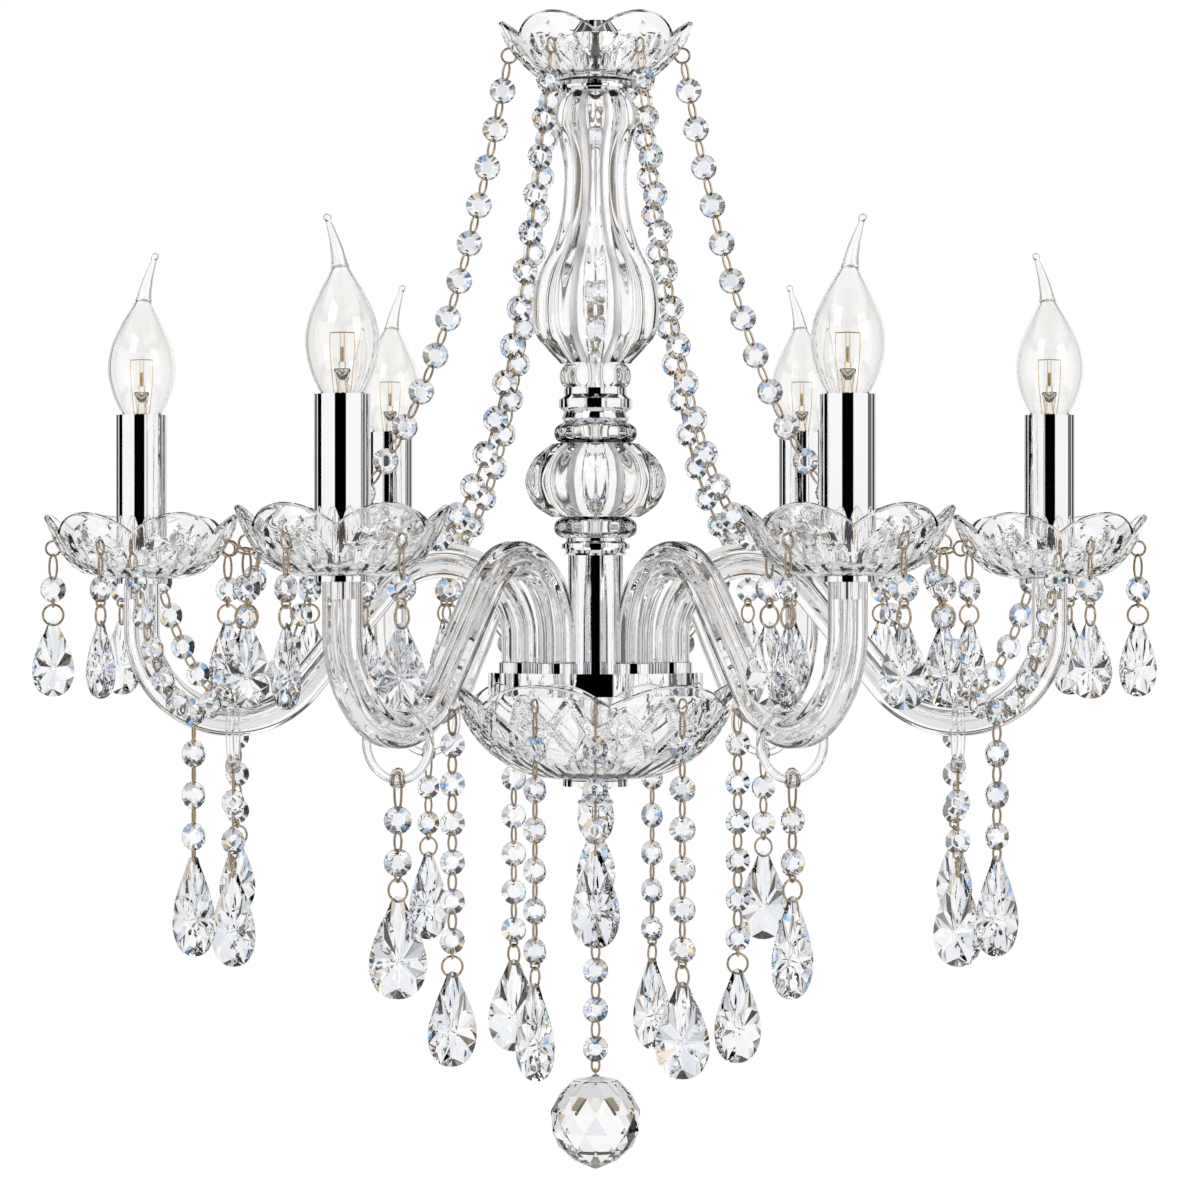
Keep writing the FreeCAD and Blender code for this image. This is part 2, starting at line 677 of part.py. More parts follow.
# The outline of a pear-shaped drop: share of its half width, share of its length from the bottom.
DROP_SHARES = [
    (0.14, 1), (0.34, 0.84), (0.62, 0.64), (0.88, 0.45), (1, 0.3), (0.88, 0.13), (0.52, 0.03), (0, 0),
]
DROP_WAIST_SHARE = 0.32
DROP_WIDTH_SHARE = 0.56
BEAD_TABLE_SHARE = 0.4
DROP_TABLE_SHARE = 0.5
BALL_ROWS = (-75, -45, -15, 15, 45, 75)
BALL_POINT_SHARE = 1.08
BEAD_SIDES = 8
TILT = S["pin_tilt"]
# From a bead's middle to the far end of a link in it, and the length of a link from bead to bead.
BEAD_HALF = S["bead_width"] / 2 - S["pin_edge"] - S["pin_sag"]
LINK = S["bead_pitch"] - 2 * BEAD_HALF
# From a hook's middle to the near end of the link that hangs in it.
HOOK_HOLD = S["hook_radius"] - 2 * S["pin_radius"] - S["pin_play"]


def facet(points):
    return Part.Face(Part.makePolygon(points + points[:1]))


def closed(facets):
    """The solid inside a set of flat facets."""
    solid = Part.makeSolid(Part.makeShell(facets))
    if solid.Volume < 0:
        solid.reverse()
    return solid


def cut_stone(outline, thickness, table_share):
    """A flat stone in the XZ plane: slanting facets from its outline to a smaller flat table on each face."""
    girdle = [Vector(x, 0, z) for x, z in outline]
    facets = []
    for side in (-1, 1):
        table = [point * table_share + Vector(0, side * thickness / 2, 0) for point in girdle]
        facets.append(facet(table))
        for i in range(len(girdle)):
            facets.append(facet([girdle[i - 1], girdle[i], table[i], table[i - 1]]))
    return closed(facets)


def pin_hole(height):
    """The hole for a link, along Y, at a height on the stone's axis."""
    length = 2 * S["bead_width"]
    return Part.makeCylinder(S["pin_hole"], length, Vector(0, -length / 2, height), Vector(0, 1, 0))


def bead():
    """An octagonal bead with a hole near each end, its face turned aside from the holes."""
    corner = S["bead_width"] / 2 / cos(pi / BEAD_SIDES)
    turns = [(i + 1 / 2) * 2 * pi / BEAD_SIDES for i in range(BEAD_SIDES)]
    outline = [(corner * cos(turn), corner * sin(turn)) for turn in turns]
    stone = cut_stone(outline, S["bead_depth"], BEAD_TABLE_SHARE)
    stone.rotate(Vector(), UP, TILT)
    for side in (-1, 1):
        stone = stone.cut(pin_hole(side * (BEAD_HALF + S["pin_sag"])))
    return stone


def pear_drop(length):
    """A pear-shaped drop with its origin at the lower end of the link that carries it."""
    half = length * DROP_WIDTH_SHARE / 2
    right = [(x * half, (z - DROP_WAIST_SHARE) * length) for x, z in DROP_SHARES]
    left = [(-x, z) for x, z in reversed(right[:-1])]
    stone = cut_stone(right + left, 2 * half * S["stone_depth_share"], DROP_TABLE_SHARE)
    stone.rotate(Vector(), UP, TILT)
    hole = (1 - DROP_WAIST_SHARE) * length - S["drop_edge"]
    stone = stone.cut(pin_hole(hole))
    return stone.translated(UP * (S["pin_sag"] - hole))


def crystal_ball():
    """A faceted ball with its origin at its middle, and a metal eye on its flat top."""
    sides = int(S["crystal_ball_sides"])
    radius = S["crystal_ball_radius"]
    rows = []
    for row in BALL_ROWS:
        height = UP * radius * sin(radians(row))
        rows.append([direction(360 * i / sides) * radius * cos(radians(row)) + height for i in range(sides)])
    point = -UP * radius * BALL_POINT_SHARE
    facets = [facet(rows[-1])]
    for i in range(sides):
        facets.append(facet([rows[0][i - 1], rows[0][i], point]))
    for low, high in zip(rows, rows[1:]):
        for i in range(sides):
            facets.append(facet([low[i - 1], low[i], high[i], high[i - 1]]))
    top = rows[-1][0].z
    eye = drum(S["eye_radius"], top, top + S["eye_height"]).cut(pin_hole(top + S["eye_height"] / 2))
    return [closed(facets), eye], top + S["eye_height"] / 2


def race_track(radius, straight):
    """The area inside a link's outline, seen from its side: two half circles joined by straight sides."""
    half = straight / 2
    points = [Vector(0, y, z) for y, z in ((radius, half), (-radius, half), (-radius, -half), (radius, -half))]
    top = Vector(0, 0, half + radius)
    edges = [
        Part.Arc(points[0], top, points[1]).toShape(),
        Part.makeLine(points[1], points[2]),
        Part.Arc(points[2], -top, points[3]).toShape(),
        Part.makeLine(points[3], points[0]),
    ]
    return Part.Face(Part.Wire(edges))


def link(length):
    """A wire link in the YZ plane, its wire's centre line as long as the given length."""
    straight = length - 2 * S["pin_reach"]
    wire = S["pin_radius"]
    area = race_track(S["pin_reach"] + wire, straight).cut(race_track(S["pin_reach"] - wire, straight))
    return area.extrude(Vector(2 * wire, 0, 0)).translated(Vector(-wire, 0, 0))


BEAD = bead()
LINKS = {length: link(length) for length in (LINK, S["loop_pin"], S["short_pin"], S["long_pin"])}
SMALL_DROP = pear_drop(S["small_drop"])
LARGE_DROP = pear_drop(S["large_drop"])
HOOK_RING = Part.makeTorus(S["hook_radius"], S["pin_radius"], Vector(), Vector(0, 1, 0))


def set_at(shape, point, along, pin):
    """A copy of a shape with its origin at the point, its Z along the string and its Y along the pins."""
    copy = shape.copy()
    copy.Placement = Placement(point, Rotation(Vector(), pin, along, "ZYX")).multiply(shape.Placement)
    return copy


def hanging(top, pin, first, beads, last, drop):
    """An upright chain below the point where its first link hooks in: beads, links and a drop."""
    pieces = []
    place = top
    for i in range(beads):
        length = LINK if i else first
        pieces.append(set_at(LINKS[length], place - UP * (length / 2), UP, pin))
        place -= UP * (length + BEAD_HALF)
        pieces.append(set_at(BEAD, place, UP, pin))
        place -= UP * BEAD_HALF
    pieces.append(set_at(LINKS[last], place - UP * (last / 2), UP, pin))
    if drop:
        pieces.append(set_at(drop, place - UP * last, UP, pin))
    return pieces


def hung_curve(start, finish, length):
    """The point at each distance along a chain of the given length that hangs between two points."""
    across = finish - start
    rise = across.z
    across.z = 0
    span = across.Length
    across.normalize()
    target = sqrt(length * length - rise * rise)
    small = span / 100
    large = span * 100
    while large - small > span * 1e-9:
        scale = (small + large) / 2
        if 2 * scale * sinh(span / 2 / scale) > target:
            small = scale
        else:
            large = scale
    lowest = span / 2 - scale * atanh(rise / length)
    begin = sinh(-lowest / scale)

    def at(distance):
        slope = begin + distance / scale
        sideways_run = scale * log(slope + hypot(slope, 1)) + lowest
        return start + across * sideways_run + UP * (scale * (hypot(slope, 1) - hypot(begin, 1)))

    return at


def festoon(start, finish, slack, odd):
    """A hanging string of beads between the middles of two hooks, and its middle bead's place and facing."""
    straight = (finish - start).Length
    beads = round((slack * straight - LINK) / S["bead_pitch"])
    if odd and beads % 2 == 0:
        beads += 1
    length = beads * S["bead_pitch"] + LINK
    at = hung_curve(start, finish, length + 2 * HOOK_HOLD)
    at = hung_curve(at(HOOK_HOLD), at(length + HOOK_HOLD), length)
    across = finish - start
    face = across.cross(UP).normalize()
    pieces = []
    middle = None
    distance = 0
    for i in range(2 * beads + 1):
        is_bead = i % 2 == 1
        step = 2 * BEAD_HALF if is_bead else LINK
        low = at(distance)
        high = at(distance + step)
        along = (high - low).normalize()
        pin = Rotation(along, -TILT).multVec(face)
        pieces.append(set_at(BEAD if is_bead else LINKS[LINK], (low + high) / 2, along, pin))
        distance += step
        if i == beads:
            middle = (low + high) / 2
    return pieces, middle, face


def hook_place(centre, reach, arm, local, height):
    """The middle of a hook on the dish at an arm's end, or on the column where the reach is nothing."""
    return direction(arm) * reach + direction(arm + local) * centre.x + UP * (height + centre.z)


def sideways(angle):
    """The direction across a hook that stands at an angle."""
    return direction(angle + 90)


def hook_at(place, angle):
    return set_at(HOOK_RING, place, UP, sideways(angle))


def garlands():
    """From the top dish to the inner side of each drip pan."""
    pieces = []
    for k in range(ARMS):
        arm = arm_angle(k)
        start = hook_place(DISH_HOOK, 0, arm, 0, level("dish"))
        finish = hook_place(CUP_HOOK, S["arm_reach"], arm, GARLAND_ANGLE, CUP_SEAT)
        pieces += [hook_at(start, arm), hook_at(finish, arm)]
        pieces += festoon(start, finish, S["garland_slack_share"], False)[0]
    solid_part("garlands", Part.makeCompound(pieces))


# The gap between the two front arms has no swag, and the swags of the back gaps end in small drops.
FRONT_GAP = 4
BACK_GAPS = (0, 1, 2)
SWAG_CHAIN_BEADS = 3
BOWL_CHAIN_BEADS = 6
SHORT_CHAIN_BEADS = (3, 1)
RING_CHAIN_BEADS = 2
BALL_CHAIN_BEADS = 6


def swags():
    """Between neighbouring drip pans, each with a short chain from its middle bead."""
    pieces = []
    for k in range(ARMS):
        if k == FRONT_GAP:
            continue
        arm = arm_angle(k)
        start = hook_place(CUP_HOOK, S["arm_reach"], arm, SWAG_ANGLES[0], CUP_SEAT)
        finish = hook_place(CUP_HOOK, S["arm_reach"], arm + STEP, SWAG_ANGLES[1], CUP_SEAT)
        pieces += [hook_at(start, arm + SWAG_ANGLES[0]), hook_at(finish, arm + STEP + SWAG_ANGLES[1])]
        string, middle, face = festoon(start, finish, S["swag_slack_share"], True)
        pin = Rotation(UP, -TILT).multVec(face)
        hole = set_at(pin_hole(0), middle - UP * (BEAD_HALF + S["pin_sag"]), UP, pin)
        centre = len(string) // 2
        string[centre] = string[centre].cut(hole)
        pieces += string
        back = k in BACK_GAPS
        last = S["long_pin"] if back else S["short_pin"]
        drop = SMALL_DROP if back else LARGE_DROP
        pieces += hanging(middle - UP * BEAD_HALF, pin, LINK, SWAG_CHAIN_BEADS, last, drop)
    solid_part("swags", Part.makeCompound(pieces))


def cup_pendants():
    """One bead and a small drop at four places round each drip pan."""
    pieces = []
    for k in range(ARMS):
        for local in PENDANT_ANGLES:
            angle = arm_angle(k) + local
            place = hook_place(CUP_HOOK, S["arm_reach"], arm_angle(k), local, CUP_SEAT)
            pieces.append(hook_at(place, angle))
            pieces += hanging(place - UP * HOOK_HOLD, sideways(angle), S["long_pin"], 1, S["long_pin"], SMALL_DROP)
    solid_part("cup_pendants", Part.makeCompound(pieces))


def bowl_pendants():
    """Long chains with large drops round the bowl, and a short chain in front and behind."""
    pieces = []
    chains = [(angle, BOWL_CHAIN_BEADS, S["long_pin"], LARGE_DROP) for angle in bowl_angles()]
    chains.append((SHORT_BOWL_CHAINS[0], SHORT_CHAIN_BEADS[0], S["short_pin"], LARGE_DROP))
    chains.append((SHORT_BOWL_CHAINS[1], SHORT_CHAIN_BEADS[1], S["long_pin"], SMALL_DROP))
    for angle, beads, last, drop in chains:
        place = hook_place(BOWL_HOOK, 0, angle, 0, level("bowl"))
        pieces.append(hook_at(place, angle))
        pieces += hanging(place - UP * HOOK_HOLD, sideways(angle), S["long_pin"], beads, last, drop)
    solid_part("bowl_pendants", Part.makeCompound(pieces))


def rings():
    """A ring hung over the dip of each arm, and the drop that hangs from it."""
    dip = arm_spine(ARM_FOOT, ARM_TOP)[1]
    inner = S["loop_radius"] - S["loop_wire"]
    centre = dip + UP * (S["arm_radius"] + S["rod_gap"] - inner)
    ring = Part.makeTorus(S["loop_radius"], S["loop_wire"], centre, Vector(1, 0, 0))
    top = centre + UP * (S["pin_reach"] - S["loop_radius"])
    chain = hanging(top, Vector(1, 0, 0), S["loop_pin"], RING_CHAIN_BEADS, S["long_pin"], LARGE_DROP)
    drop = Part.makeCompound(chain)
    for k in range(ARMS):
        place = Placement(Vector(), Rotation(UP, arm_angle(k)))
        solid_part(f"ring_{k + 1}", ring, place)
        solid_part(f"ring_drop_{k + 1}", drop, place)


def ball_drop():
    """The chain under the finial, with the faceted ball at its end."""
    pin = Vector(0, 1, 0)
    top = UP * (level("finial") + S["eye_height"] / 2 + S["pin_sag"])
    pieces = hanging(top, pin, S["loop_pin"], BALL_CHAIN_BEADS, S["short_pin"], None)
    ball, eye = crystal_ball()
    chain = S["loop_pin"] + S["short_pin"] + BALL_CHAIN_BEADS * S["bead_pitch"] - LINK
    place = top - UP * (chain - S["pin_sag"] + eye)
    pieces += [set_at(shape, place, UP, pin) for shape in ball]
    solid_part("ball_drop", Part.makeCompound(pieces))


metal_column()
finial()
hub()
glass_column()
glass_dishes()
arms()
arm_fastenings()
wires()
candles()
bulbs()
rings()
ball_drop()
garlands()
swags()
cup_pendants()
bowl_pendants()
doc.recompute()

for item in doc.Objects:
    if "Invalid" in item.State or "Error" in item.State:
        raise RuntimeError(f"{item.Label} failed: {item.State}")
for feature in made:
    if feature.Shape.isNull() or not feature.Shape.isValid() or not feature.Shape.Solids:
        raise RuntimeError(f"{feature.Label} has no sound shape")

os.makedirs("parts", exist_ok=True)
for feature in made:
    feature.Shape.exportStep(f"parts/{feature.Label}.step")
    box = feature.Shape.BoundBox
    print(f"{feature.Label}: {len(feature.Shape.Solids)} solid(s), "
          f"z {box.ZMin:.1f} to {box.ZMax:.1f}, volume {feature.Shape.Volume:.0f}")
print(len(made), "nodes")
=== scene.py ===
# %% [markdown]
# # A crystal candle chandelier
#
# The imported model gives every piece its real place. This lesson dresses it: clear pressed glass, cut
# crystal, chrome and gold wire. Glass shows only what stands round it, so the studio matters as much
# as the glass itself, and each facet has to be a real facet.

# %% Load the frame
import random
from math import cos, pi, radians, sin, sqrt

import bpy
import bmesh
import numpy as np
from mathutils import Matrix, Vector


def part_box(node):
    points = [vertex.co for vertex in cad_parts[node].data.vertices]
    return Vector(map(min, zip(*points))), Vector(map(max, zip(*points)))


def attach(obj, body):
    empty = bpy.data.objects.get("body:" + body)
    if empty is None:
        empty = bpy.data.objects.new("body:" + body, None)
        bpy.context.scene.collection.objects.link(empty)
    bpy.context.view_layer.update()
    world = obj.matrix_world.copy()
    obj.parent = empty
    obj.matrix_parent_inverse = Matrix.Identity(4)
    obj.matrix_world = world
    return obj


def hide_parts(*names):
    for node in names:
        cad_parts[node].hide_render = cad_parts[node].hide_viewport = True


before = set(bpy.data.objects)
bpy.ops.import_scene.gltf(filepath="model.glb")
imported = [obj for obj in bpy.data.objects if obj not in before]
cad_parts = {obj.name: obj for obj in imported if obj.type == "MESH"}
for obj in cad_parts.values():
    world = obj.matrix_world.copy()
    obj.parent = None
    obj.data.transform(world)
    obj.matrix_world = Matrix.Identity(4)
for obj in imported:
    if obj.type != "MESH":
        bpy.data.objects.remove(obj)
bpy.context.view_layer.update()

ROOT = "chandelier"
ARMS = 6
STEP = 2 * pi / ARMS
MM = 0.001
SIDEWAYS = Vector((1, 0, 0))
ACROSS = Vector((0, 1, 0))
UP = Vector((0, 0, 1))

# %% [markdown]
# ## Shader sums in plain Python
#
# A shader tree is easier to read as a sum than as a page of nodes. `Field` wraps a socket, and its
# operators add the Math nodes. Every other node comes from `make`, settings first and links second.

# %% A socket that takes part in sums


class Field:
    def __init__(self, tree, socket=None):
        self.tree = tree
        self.socket = socket

    def make(self, kind, settings=None, inputs=None, output=0):
        node = self.tree.nodes.new(kind)
        for name, value in (settings or {}).items():
            setattr(node, name, value)
        for name, value in (inputs or {}).items():
            self.plug(value, node.inputs[name])
        return Field(self.tree, node.outputs[output])

    def plug(self, value, socket):
        if isinstance(value, Field):
            self.tree.links.new(value.socket, socket)
        else:
            socket.default_value = value

    def maths(self, operation, first, second=0.0):
        return self.make("ShaderNodeMath", {"operation": operation}, {0: first, 1: second})

    def __add__(self, other):
        return self.maths("ADD", self, other)

    def __radd__(self, other):
        return self.maths("ADD", other, self)

    def __sub__(self, other):
        return self.maths("SUBTRACT", self, other)

    def __rsub__(self, other):
        return self.maths("SUBTRACT", other, self)

    def __mul__(self, other):
        return self.maths("MULTIPLY", self, other)

    def __rmul__(self, other):
        return self.maths("MULTIPLY", other, self)

    def above(self, edge, blur):
        """1 where the value lies above the edge, with a soft border."""
        return self.make("ShaderNodeMapRange", {"interpolation_type": "SMOOTHSTEP"},
                         {"Value": self, "From Min": edge - blur, "From Max": edge + blur})

    def mix_colours(self, low, high):
        """A colour between two others, with this value as the share of the second."""
        return self.make("ShaderNodeMix", {"data_type": "RGBA"}, {"Factor": self, 6: low, 7: high}, 2)


# %% [markdown]
# ## Finishes
#
# Chrome and wire are plain metals with a trace of handling marks. Pressed glass keeps the soft ripple
# of its mould, which bends what shows through it. Cut crystal is flat between its edges; its bluish and
# amber glints and its grey facets are painted light, a colour that each facet carries.

# %% The start of every finish
WHITE = (1, 1, 1, 1)


def new_finish(name, constants):
    """A material with a Principled shader whose constants are set on its own sockets."""
    material = bpy.data.materials.new(name)
    material.use_nodes = True
    shader = material.node_tree.nodes["Principled BSDF"]
    for socket, value in constants.items():
        shader.inputs[socket].default_value = value
    return material, Field(material.node_tree), shader


OBJECT_PLACE = 3      # the Object output of a Texture Coordinate node


def spots(tree, scale, detail=3.0):
    """Soft noise in the object's own space."""
    place = tree.make("ShaderNodeTexCoord", output=OBJECT_PLACE)
    return tree.make("ShaderNodeTexNoise", None, {"Vector": place, "Scale": scale, "Detail": detail})


def bump(tree, height, strength, distance):
    """A normal tilted by a height, with the distance in metres."""
    return tree.make("ShaderNodeBump", None, {"Height": height, "Strength": strength, "Distance": distance})


# %% Chrome, wire and steel


def metal(name, colour, smudged, roughness):
    """A bare or plated metal that handling has dulled a little in spots."""
    material, tree, shader = new_finish(name, {"Metallic": 1.0})
    marks = spots(tree, 35.0)
    tint = marks.above(0.62, 0.25).mix_colours((*colour, 1), (*smudged, 1))
    tree.plug(tint, shader.inputs["Base Color"])
    tree.plug(marks.above(0.6, 0.2) * (roughness * 1.5) + roughness, shader.inputs["Roughness"])
    return material


CHROME = metal("chrome_plate", (0.93, 0.935, 0.95), (0.88, 0.885, 0.9), 0.02)
SATIN_TUBE = metal("satin_steel_tube", (0.95, 0.95, 0.96), (0.9, 0.9, 0.92), 0.3)
GOLD_WIRE = metal("nickel_gold_wire", (0.56, 0.45, 0.33), (0.32, 0.25, 0.18), 0.05)
LAMP_WIRE = metal("brass_lamp_wire", (0.9, 0.68, 0.38), (0.72, 0.48, 0.24), 0.15)
STEEL = metal("zinc_steel", (0.62, 0.63, 0.65), (0.5, 0.5, 0.52), 0.3)

# %% Glass and crystal


def rippled_glass(name, ior, ripple, scale, tint=(0.985, 0.99, 1.0)):
    """Clear glass whose surface rises and falls by the ripple, in metres."""
    material, tree, shader = new_finish(name, {"Transmission Weight": 1.0, "IOR": ior})
    wave = spots(tree, scale, 1.0)
    colour = wave.above(0.5, 0.3).mix_colours((*tint, 1), WHITE)
    tree.plug(colour, shader.inputs["Base Color"])
    tree.plug(wave.above(0.7, 0.2) * 0.012, shader.inputs["Roughness"])
    tree.plug(bump(tree, wave, 1.0, ripple), shader.inputs["Normal"])
    return material


def crystal(name):
    """Cut lead crystal: each facet's painted grey shade or painted bluish or amber glint is set on the mesh
    by the piece that makes it.
    """
    material, tree, shader = new_finish(name, {"Transmission Weight": 1.0, "IOR": 1.58})
    # The facets' painted shade and painted glints come in as the base colour.
    facet_glints_and_shade = tree.make("ShaderNodeVertexColor", {"layer_name": "tint"})
    tree.plug(facet_glints_and_shade, shader.inputs["Base Color"])
    tree.plug(spots(tree, 300.0).above(0.72, 0.1) * 0.02, shader.inputs["Roughness"])
    return material


PRESSED_GLASS = rippled_glass("pressed_glass", 1.5, 0.00025, 45.0)
ARM_GLASS = rippled_glass("drawn_arm_glass", 1.47, 0.00004, 12.0, (0.99, 0.988, 0.99))
BULB_GLASS = rippled_glass("lamp_glass", 1.45, 0.00003, 25.0, (0.95, 0.945, 0.93))
CRYSTAL = crystal("cut_crystal")

# %% Paint, plastic and lead sheath


def matt(name, light, dark, roughness, grain):
    """Paint or plastic with a fine fleck."""
    material, tree, shader = new_finish(name, {"Roughness": roughness})
    fleck = spots(tree, grain)
    tree.plug(fleck.above(0.5, 0.2).mix_colours((*light, 1), (*dark, 1)), shader.inputs["Base Color"])
    tree.plug(bump(tree, fleck, 0.2, 0.0002), shader.inputs["Normal"])
    return material


HOLDER_SEAT = -285.7 * MM     # the floor of the drip pans, where the holders' plastic begins


def holder_finish():
    """White plastic above the drip pan's floor, and a plated threaded stud below it."""
    material, tree, shader = new_finish("lamp_holder", {})
    place = tree.make("ShaderNodeTexCoord", output=OBJECT_PLACE)
    level = tree.make("ShaderNodeSeparateXYZ", None, {"Vector": place}, output=2)
    plastic = level.above(HOLDER_SEAT, 0.1 * MM)
    fleck = spots(tree, 400.0)
    paint = fleck.above(0.5, 0.2).mix_colours((0.84, 0.84, 0.82, 1), (0.78, 0.78, 0.76, 1))
    tree.plug(plastic.mix_colours((0.9, 0.9, 0.92, 1), paint), shader.inputs["Base Color"])
    tree.plug(1 - plastic, shader.inputs["Metallic"])
    tree.plug(plastic * 0.45 + 0.08, shader.inputs["Roughness"])
    return material


HOLDER_PLASTIC = holder_finish()
LEAD_SHEATH = rippled_glass("clear_lead_sheath", 1.4, 0.0001, 200.0, (0.97, 0.97, 0.98))

CAD_FINISHES = {
    CHROME: ["top_cap", "top_collar", "upper_ring", "lower_ring", "column_tube", "hub", "finial",
             "arm_ferrules", "cup_washers"] + [f"candle_sleeve_{k + 1}" for k in range(ARMS)],
    STEEL: ["arm_nuts"],
    SATIN_TUBE: ["centre_rod"],
    HOLDER_PLASTIC: ["lamp_holders"],
    LEAD_SHEATH: ["wires"],
}


def shade_smooth(mesh, sharp):
    """Smooth shading that breaks at edges sharper than an angle in degrees."""
    mesh.polygons.foreach_set("use_smooth", [True] * len(mesh.polygons))
    mesh.set_sharp_from_angle(angle=radians(sharp))


for finish, names in CAD_FINISHES.items():
    for name in names:
        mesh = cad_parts[name].data
        mesh.materials.clear()
        mesh.materials.append(finish)
        shade_smooth(mesh, 30)
print("finishes:", len(bpy.data.materials))

# %% [markdown]
# ## Pieces out of rings
#
# A turned dish, a fluted vase, a bent tube and a wire link are one kind of mesh: rings of points, each
# joined to the next. One helper weaves them, and another hands the piece to its body.

# %% Weaving rings into a piece


def weave(rings, closed):
    """Faces between neighbouring rings of points; closed joins the last ring to the first."""
    count = len(rings[0])
    points = [point for ring in rings for point in ring]
    faces = []
    for i in range(len(rings) if closed else len(rings) - 1):
        j = (i + 1) % len(rings)
        for a in range(count):
            b = (a + 1) % count
            faces.append((i * count + a, i * count + b, j * count + b, j * count + a))
    return points, faces


def join(parts):
    """Several (points, faces) pairs as one."""
    points = []
    faces = []
    for more_points, more_faces in parts:
        base = len(points)
        points += more_points
        faces += [tuple(base + i for i in face) for face in more_faces]
    return points, faces


def add_object(name, data):
    thing = bpy.data.objects.new(name, data)
    bpy.context.scene.collection.objects.link(thing)
    return thing


def add_piece(name, shape, finish, body, nodes=(), sharp=30):
    """A mesh object from (points, faces), on its body. At a sharp of 0 every face is shaded flat."""
    points, faces = shape
    mesh = bpy.data.meshes.new(name)
    mesh.from_pydata(points, [], faces)
    loom = bmesh.new()
    loom.from_mesh(mesh)
    bmesh.ops.recalc_face_normals(loom, faces=loom.faces)
    loom.to_mesh(mesh)
    loom.free()
    mesh.materials.append(finish)
    if sharp:
        shade_smooth(mesh, sharp)
    piece = add_object(name, mesh)
    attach(piece, body)
    if nodes:
        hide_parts(*nodes)
    return piece


def fixed_glass(name, shape, node, sharp=30, finish=PRESSED_GLASS):
    """A glass piece on the fixed body that stands for one node."""
    return add_piece(name, shape, finish, ROOT, [node], sharp)


def circle(count):
    """The angles of evenly spaced points round a circle."""
    return [2 * pi * i / count for i in range(count)]


def spread(angle):
    """The level direction at an angle from the X axis."""
    return Vector((cos(angle), sin(angle), 0))


def level_ring(reach, level, count):
    """A round ring of points at a height."""
    return [spread(t) * reach + UP * level for t in circle(count)]


def lobed_ring(reach, level, lobes, lobe_points, depth):
    """A ring of round lobes. The depth of its valleys is a share of its reach."""
    ring = []
    for i, t in enumerate(circle(lobes * lobe_points)):
        valley = 1 - abs(cos(pi * i / lobe_points))
        ring.append(spread(t) * reach * (1 - depth * valley) + UP * level)
    return ring


def smooth_line(points, steps):
    """Points along a smooth curve through the given points, by the Catmull-Rom rule."""
    ends = [2 * points[0] - points[1]] + list(points) + [2 * points[-1] - points[-2]]
    line = []
    for i in range(1, len(ends) - 2):
        before, start, end, after = ends[i - 1:i + 3]
        for step in range(steps):
            t = step / steps
            squared = (2 * before - 5 * start + 4 * end - after) * t ** 2
            cubed = (3 * start - before - 3 * end + after) * t ** 3
            line.append(0.5 * (2 * start + (end - before) * t + squared + cubed))
    line.append(points[-1])
    return line


def closed_off(shape, count):
    """The woven shape with a face over its first and its last ring."""
    points, faces = shape
    total = len(points)
    return points, faces + [tuple(range(count)), tuple(range(total - count, total))]


def wire_along(points, radius, sides=8):
    """A round wire through points, closed at its ends."""
    rings = []
    for i, point in enumerate(points):
        ahead = points[min(i + 1, len(points) - 1)] - points[max(i - 1, 0)]
        ahead.normalize()
        aside = ahead.cross(ACROSS if abs(ahead.y) < 0.8 else UP).normalized()
        third = ahead.cross(aside)
        rings.append([point + (aside * cos(t) + third * sin(t)) * radius for t in circle(sides)])
    return closed_off(weave(rings, False), sides)


NEEDLE = 0.01 * MM     # the radius of a turned solid's first and last ring


def turned(outline, around=48):
    """A solid of revolution from (radius, height) pairs that begin and end on the axis."""
    rings = [level_ring(max(reach, NEEDLE), level, around) for reach, level in outline]
    return closed_off(weave(rings, False), around)


def millimetres(pairs):
    return [(first * MM, second * MM) for first, second in pairs]


# %% [markdown]
# ## The fluted column
#
# The vase and the ball below it are hollow pressings with round lobes. The sharp valleys between the
# lobes gather the light into the long dark and bright lines of the photograph, so they are in the mesh.

# %% Vase and lobed ball
VASE_SHARES = [
    (0, 0.53), (0.06, 0.76), (0.12, 0.92), (0.22, 0.955), (0.32, 0.88), (0.42, 0.68), (0.52, 0.545),
    (0.62, 0.485), (0.74, 0.478), (0.84, 0.56), (0.9, 0.64), (0.96, 0.6), (1, 0.5),
]
BALL_SHARES = [(0, 0.62), (0.1, 0.79), (0.25, 0.93), (0.5, 1), (0.75, 0.91), (0.9, 0.76), (1, 0.62)]
FLUTES = 14
FLUTE_POINTS = 12
FLUTE_SHARE = 0.085
VASE_WALL = 4.5 * MM


def fluted(node, shares):
    """A hollow pressing with round lobes outside and a plain round bore inside."""
    low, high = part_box(node)
    points = [Vector((width * high.x, low.z + rise * (high.z - low.z))) for rise, width in shares]
    outside = []
    inside = []
    for reach, level in smooth_line(points, 5):
        outside.append(lobed_ring(reach, level, FLUTES, FLUTE_POINTS, FLUTE_SHARE))
        hollow = reach * (1 - FLUTE_SHARE) - VASE_WALL
        inside.append(level_ring(hollow, level, FLUTES * FLUTE_POINTS))
    return weave(outside + inside[::-1], True)


for node, shares in (("vase", VASE_SHARES), ("lobed_ball", BALL_SHARES)):
    piece = fixed_glass(f"{node}_pressing", fluted(node, shares), node, 35)
    print(piece.name, len(piece.data.polygons), "faces")

# %% [markdown]
# ## Collars of the column
#
# Three glass beads part the pressings. Each is a squat melon with ten lobes, bored for the rod.

# %% Glass collars
COLLAR_SHARES = [(0.8, 0), (0.95, 0.2), (1, 0.5), (0.95, 0.8), (0.8, 1)]
COLLAR_LOBES = 10
COLLAR_POINTS = 14
COLLAR_FLUTE = 0.07
BORE = 5.3 * MM


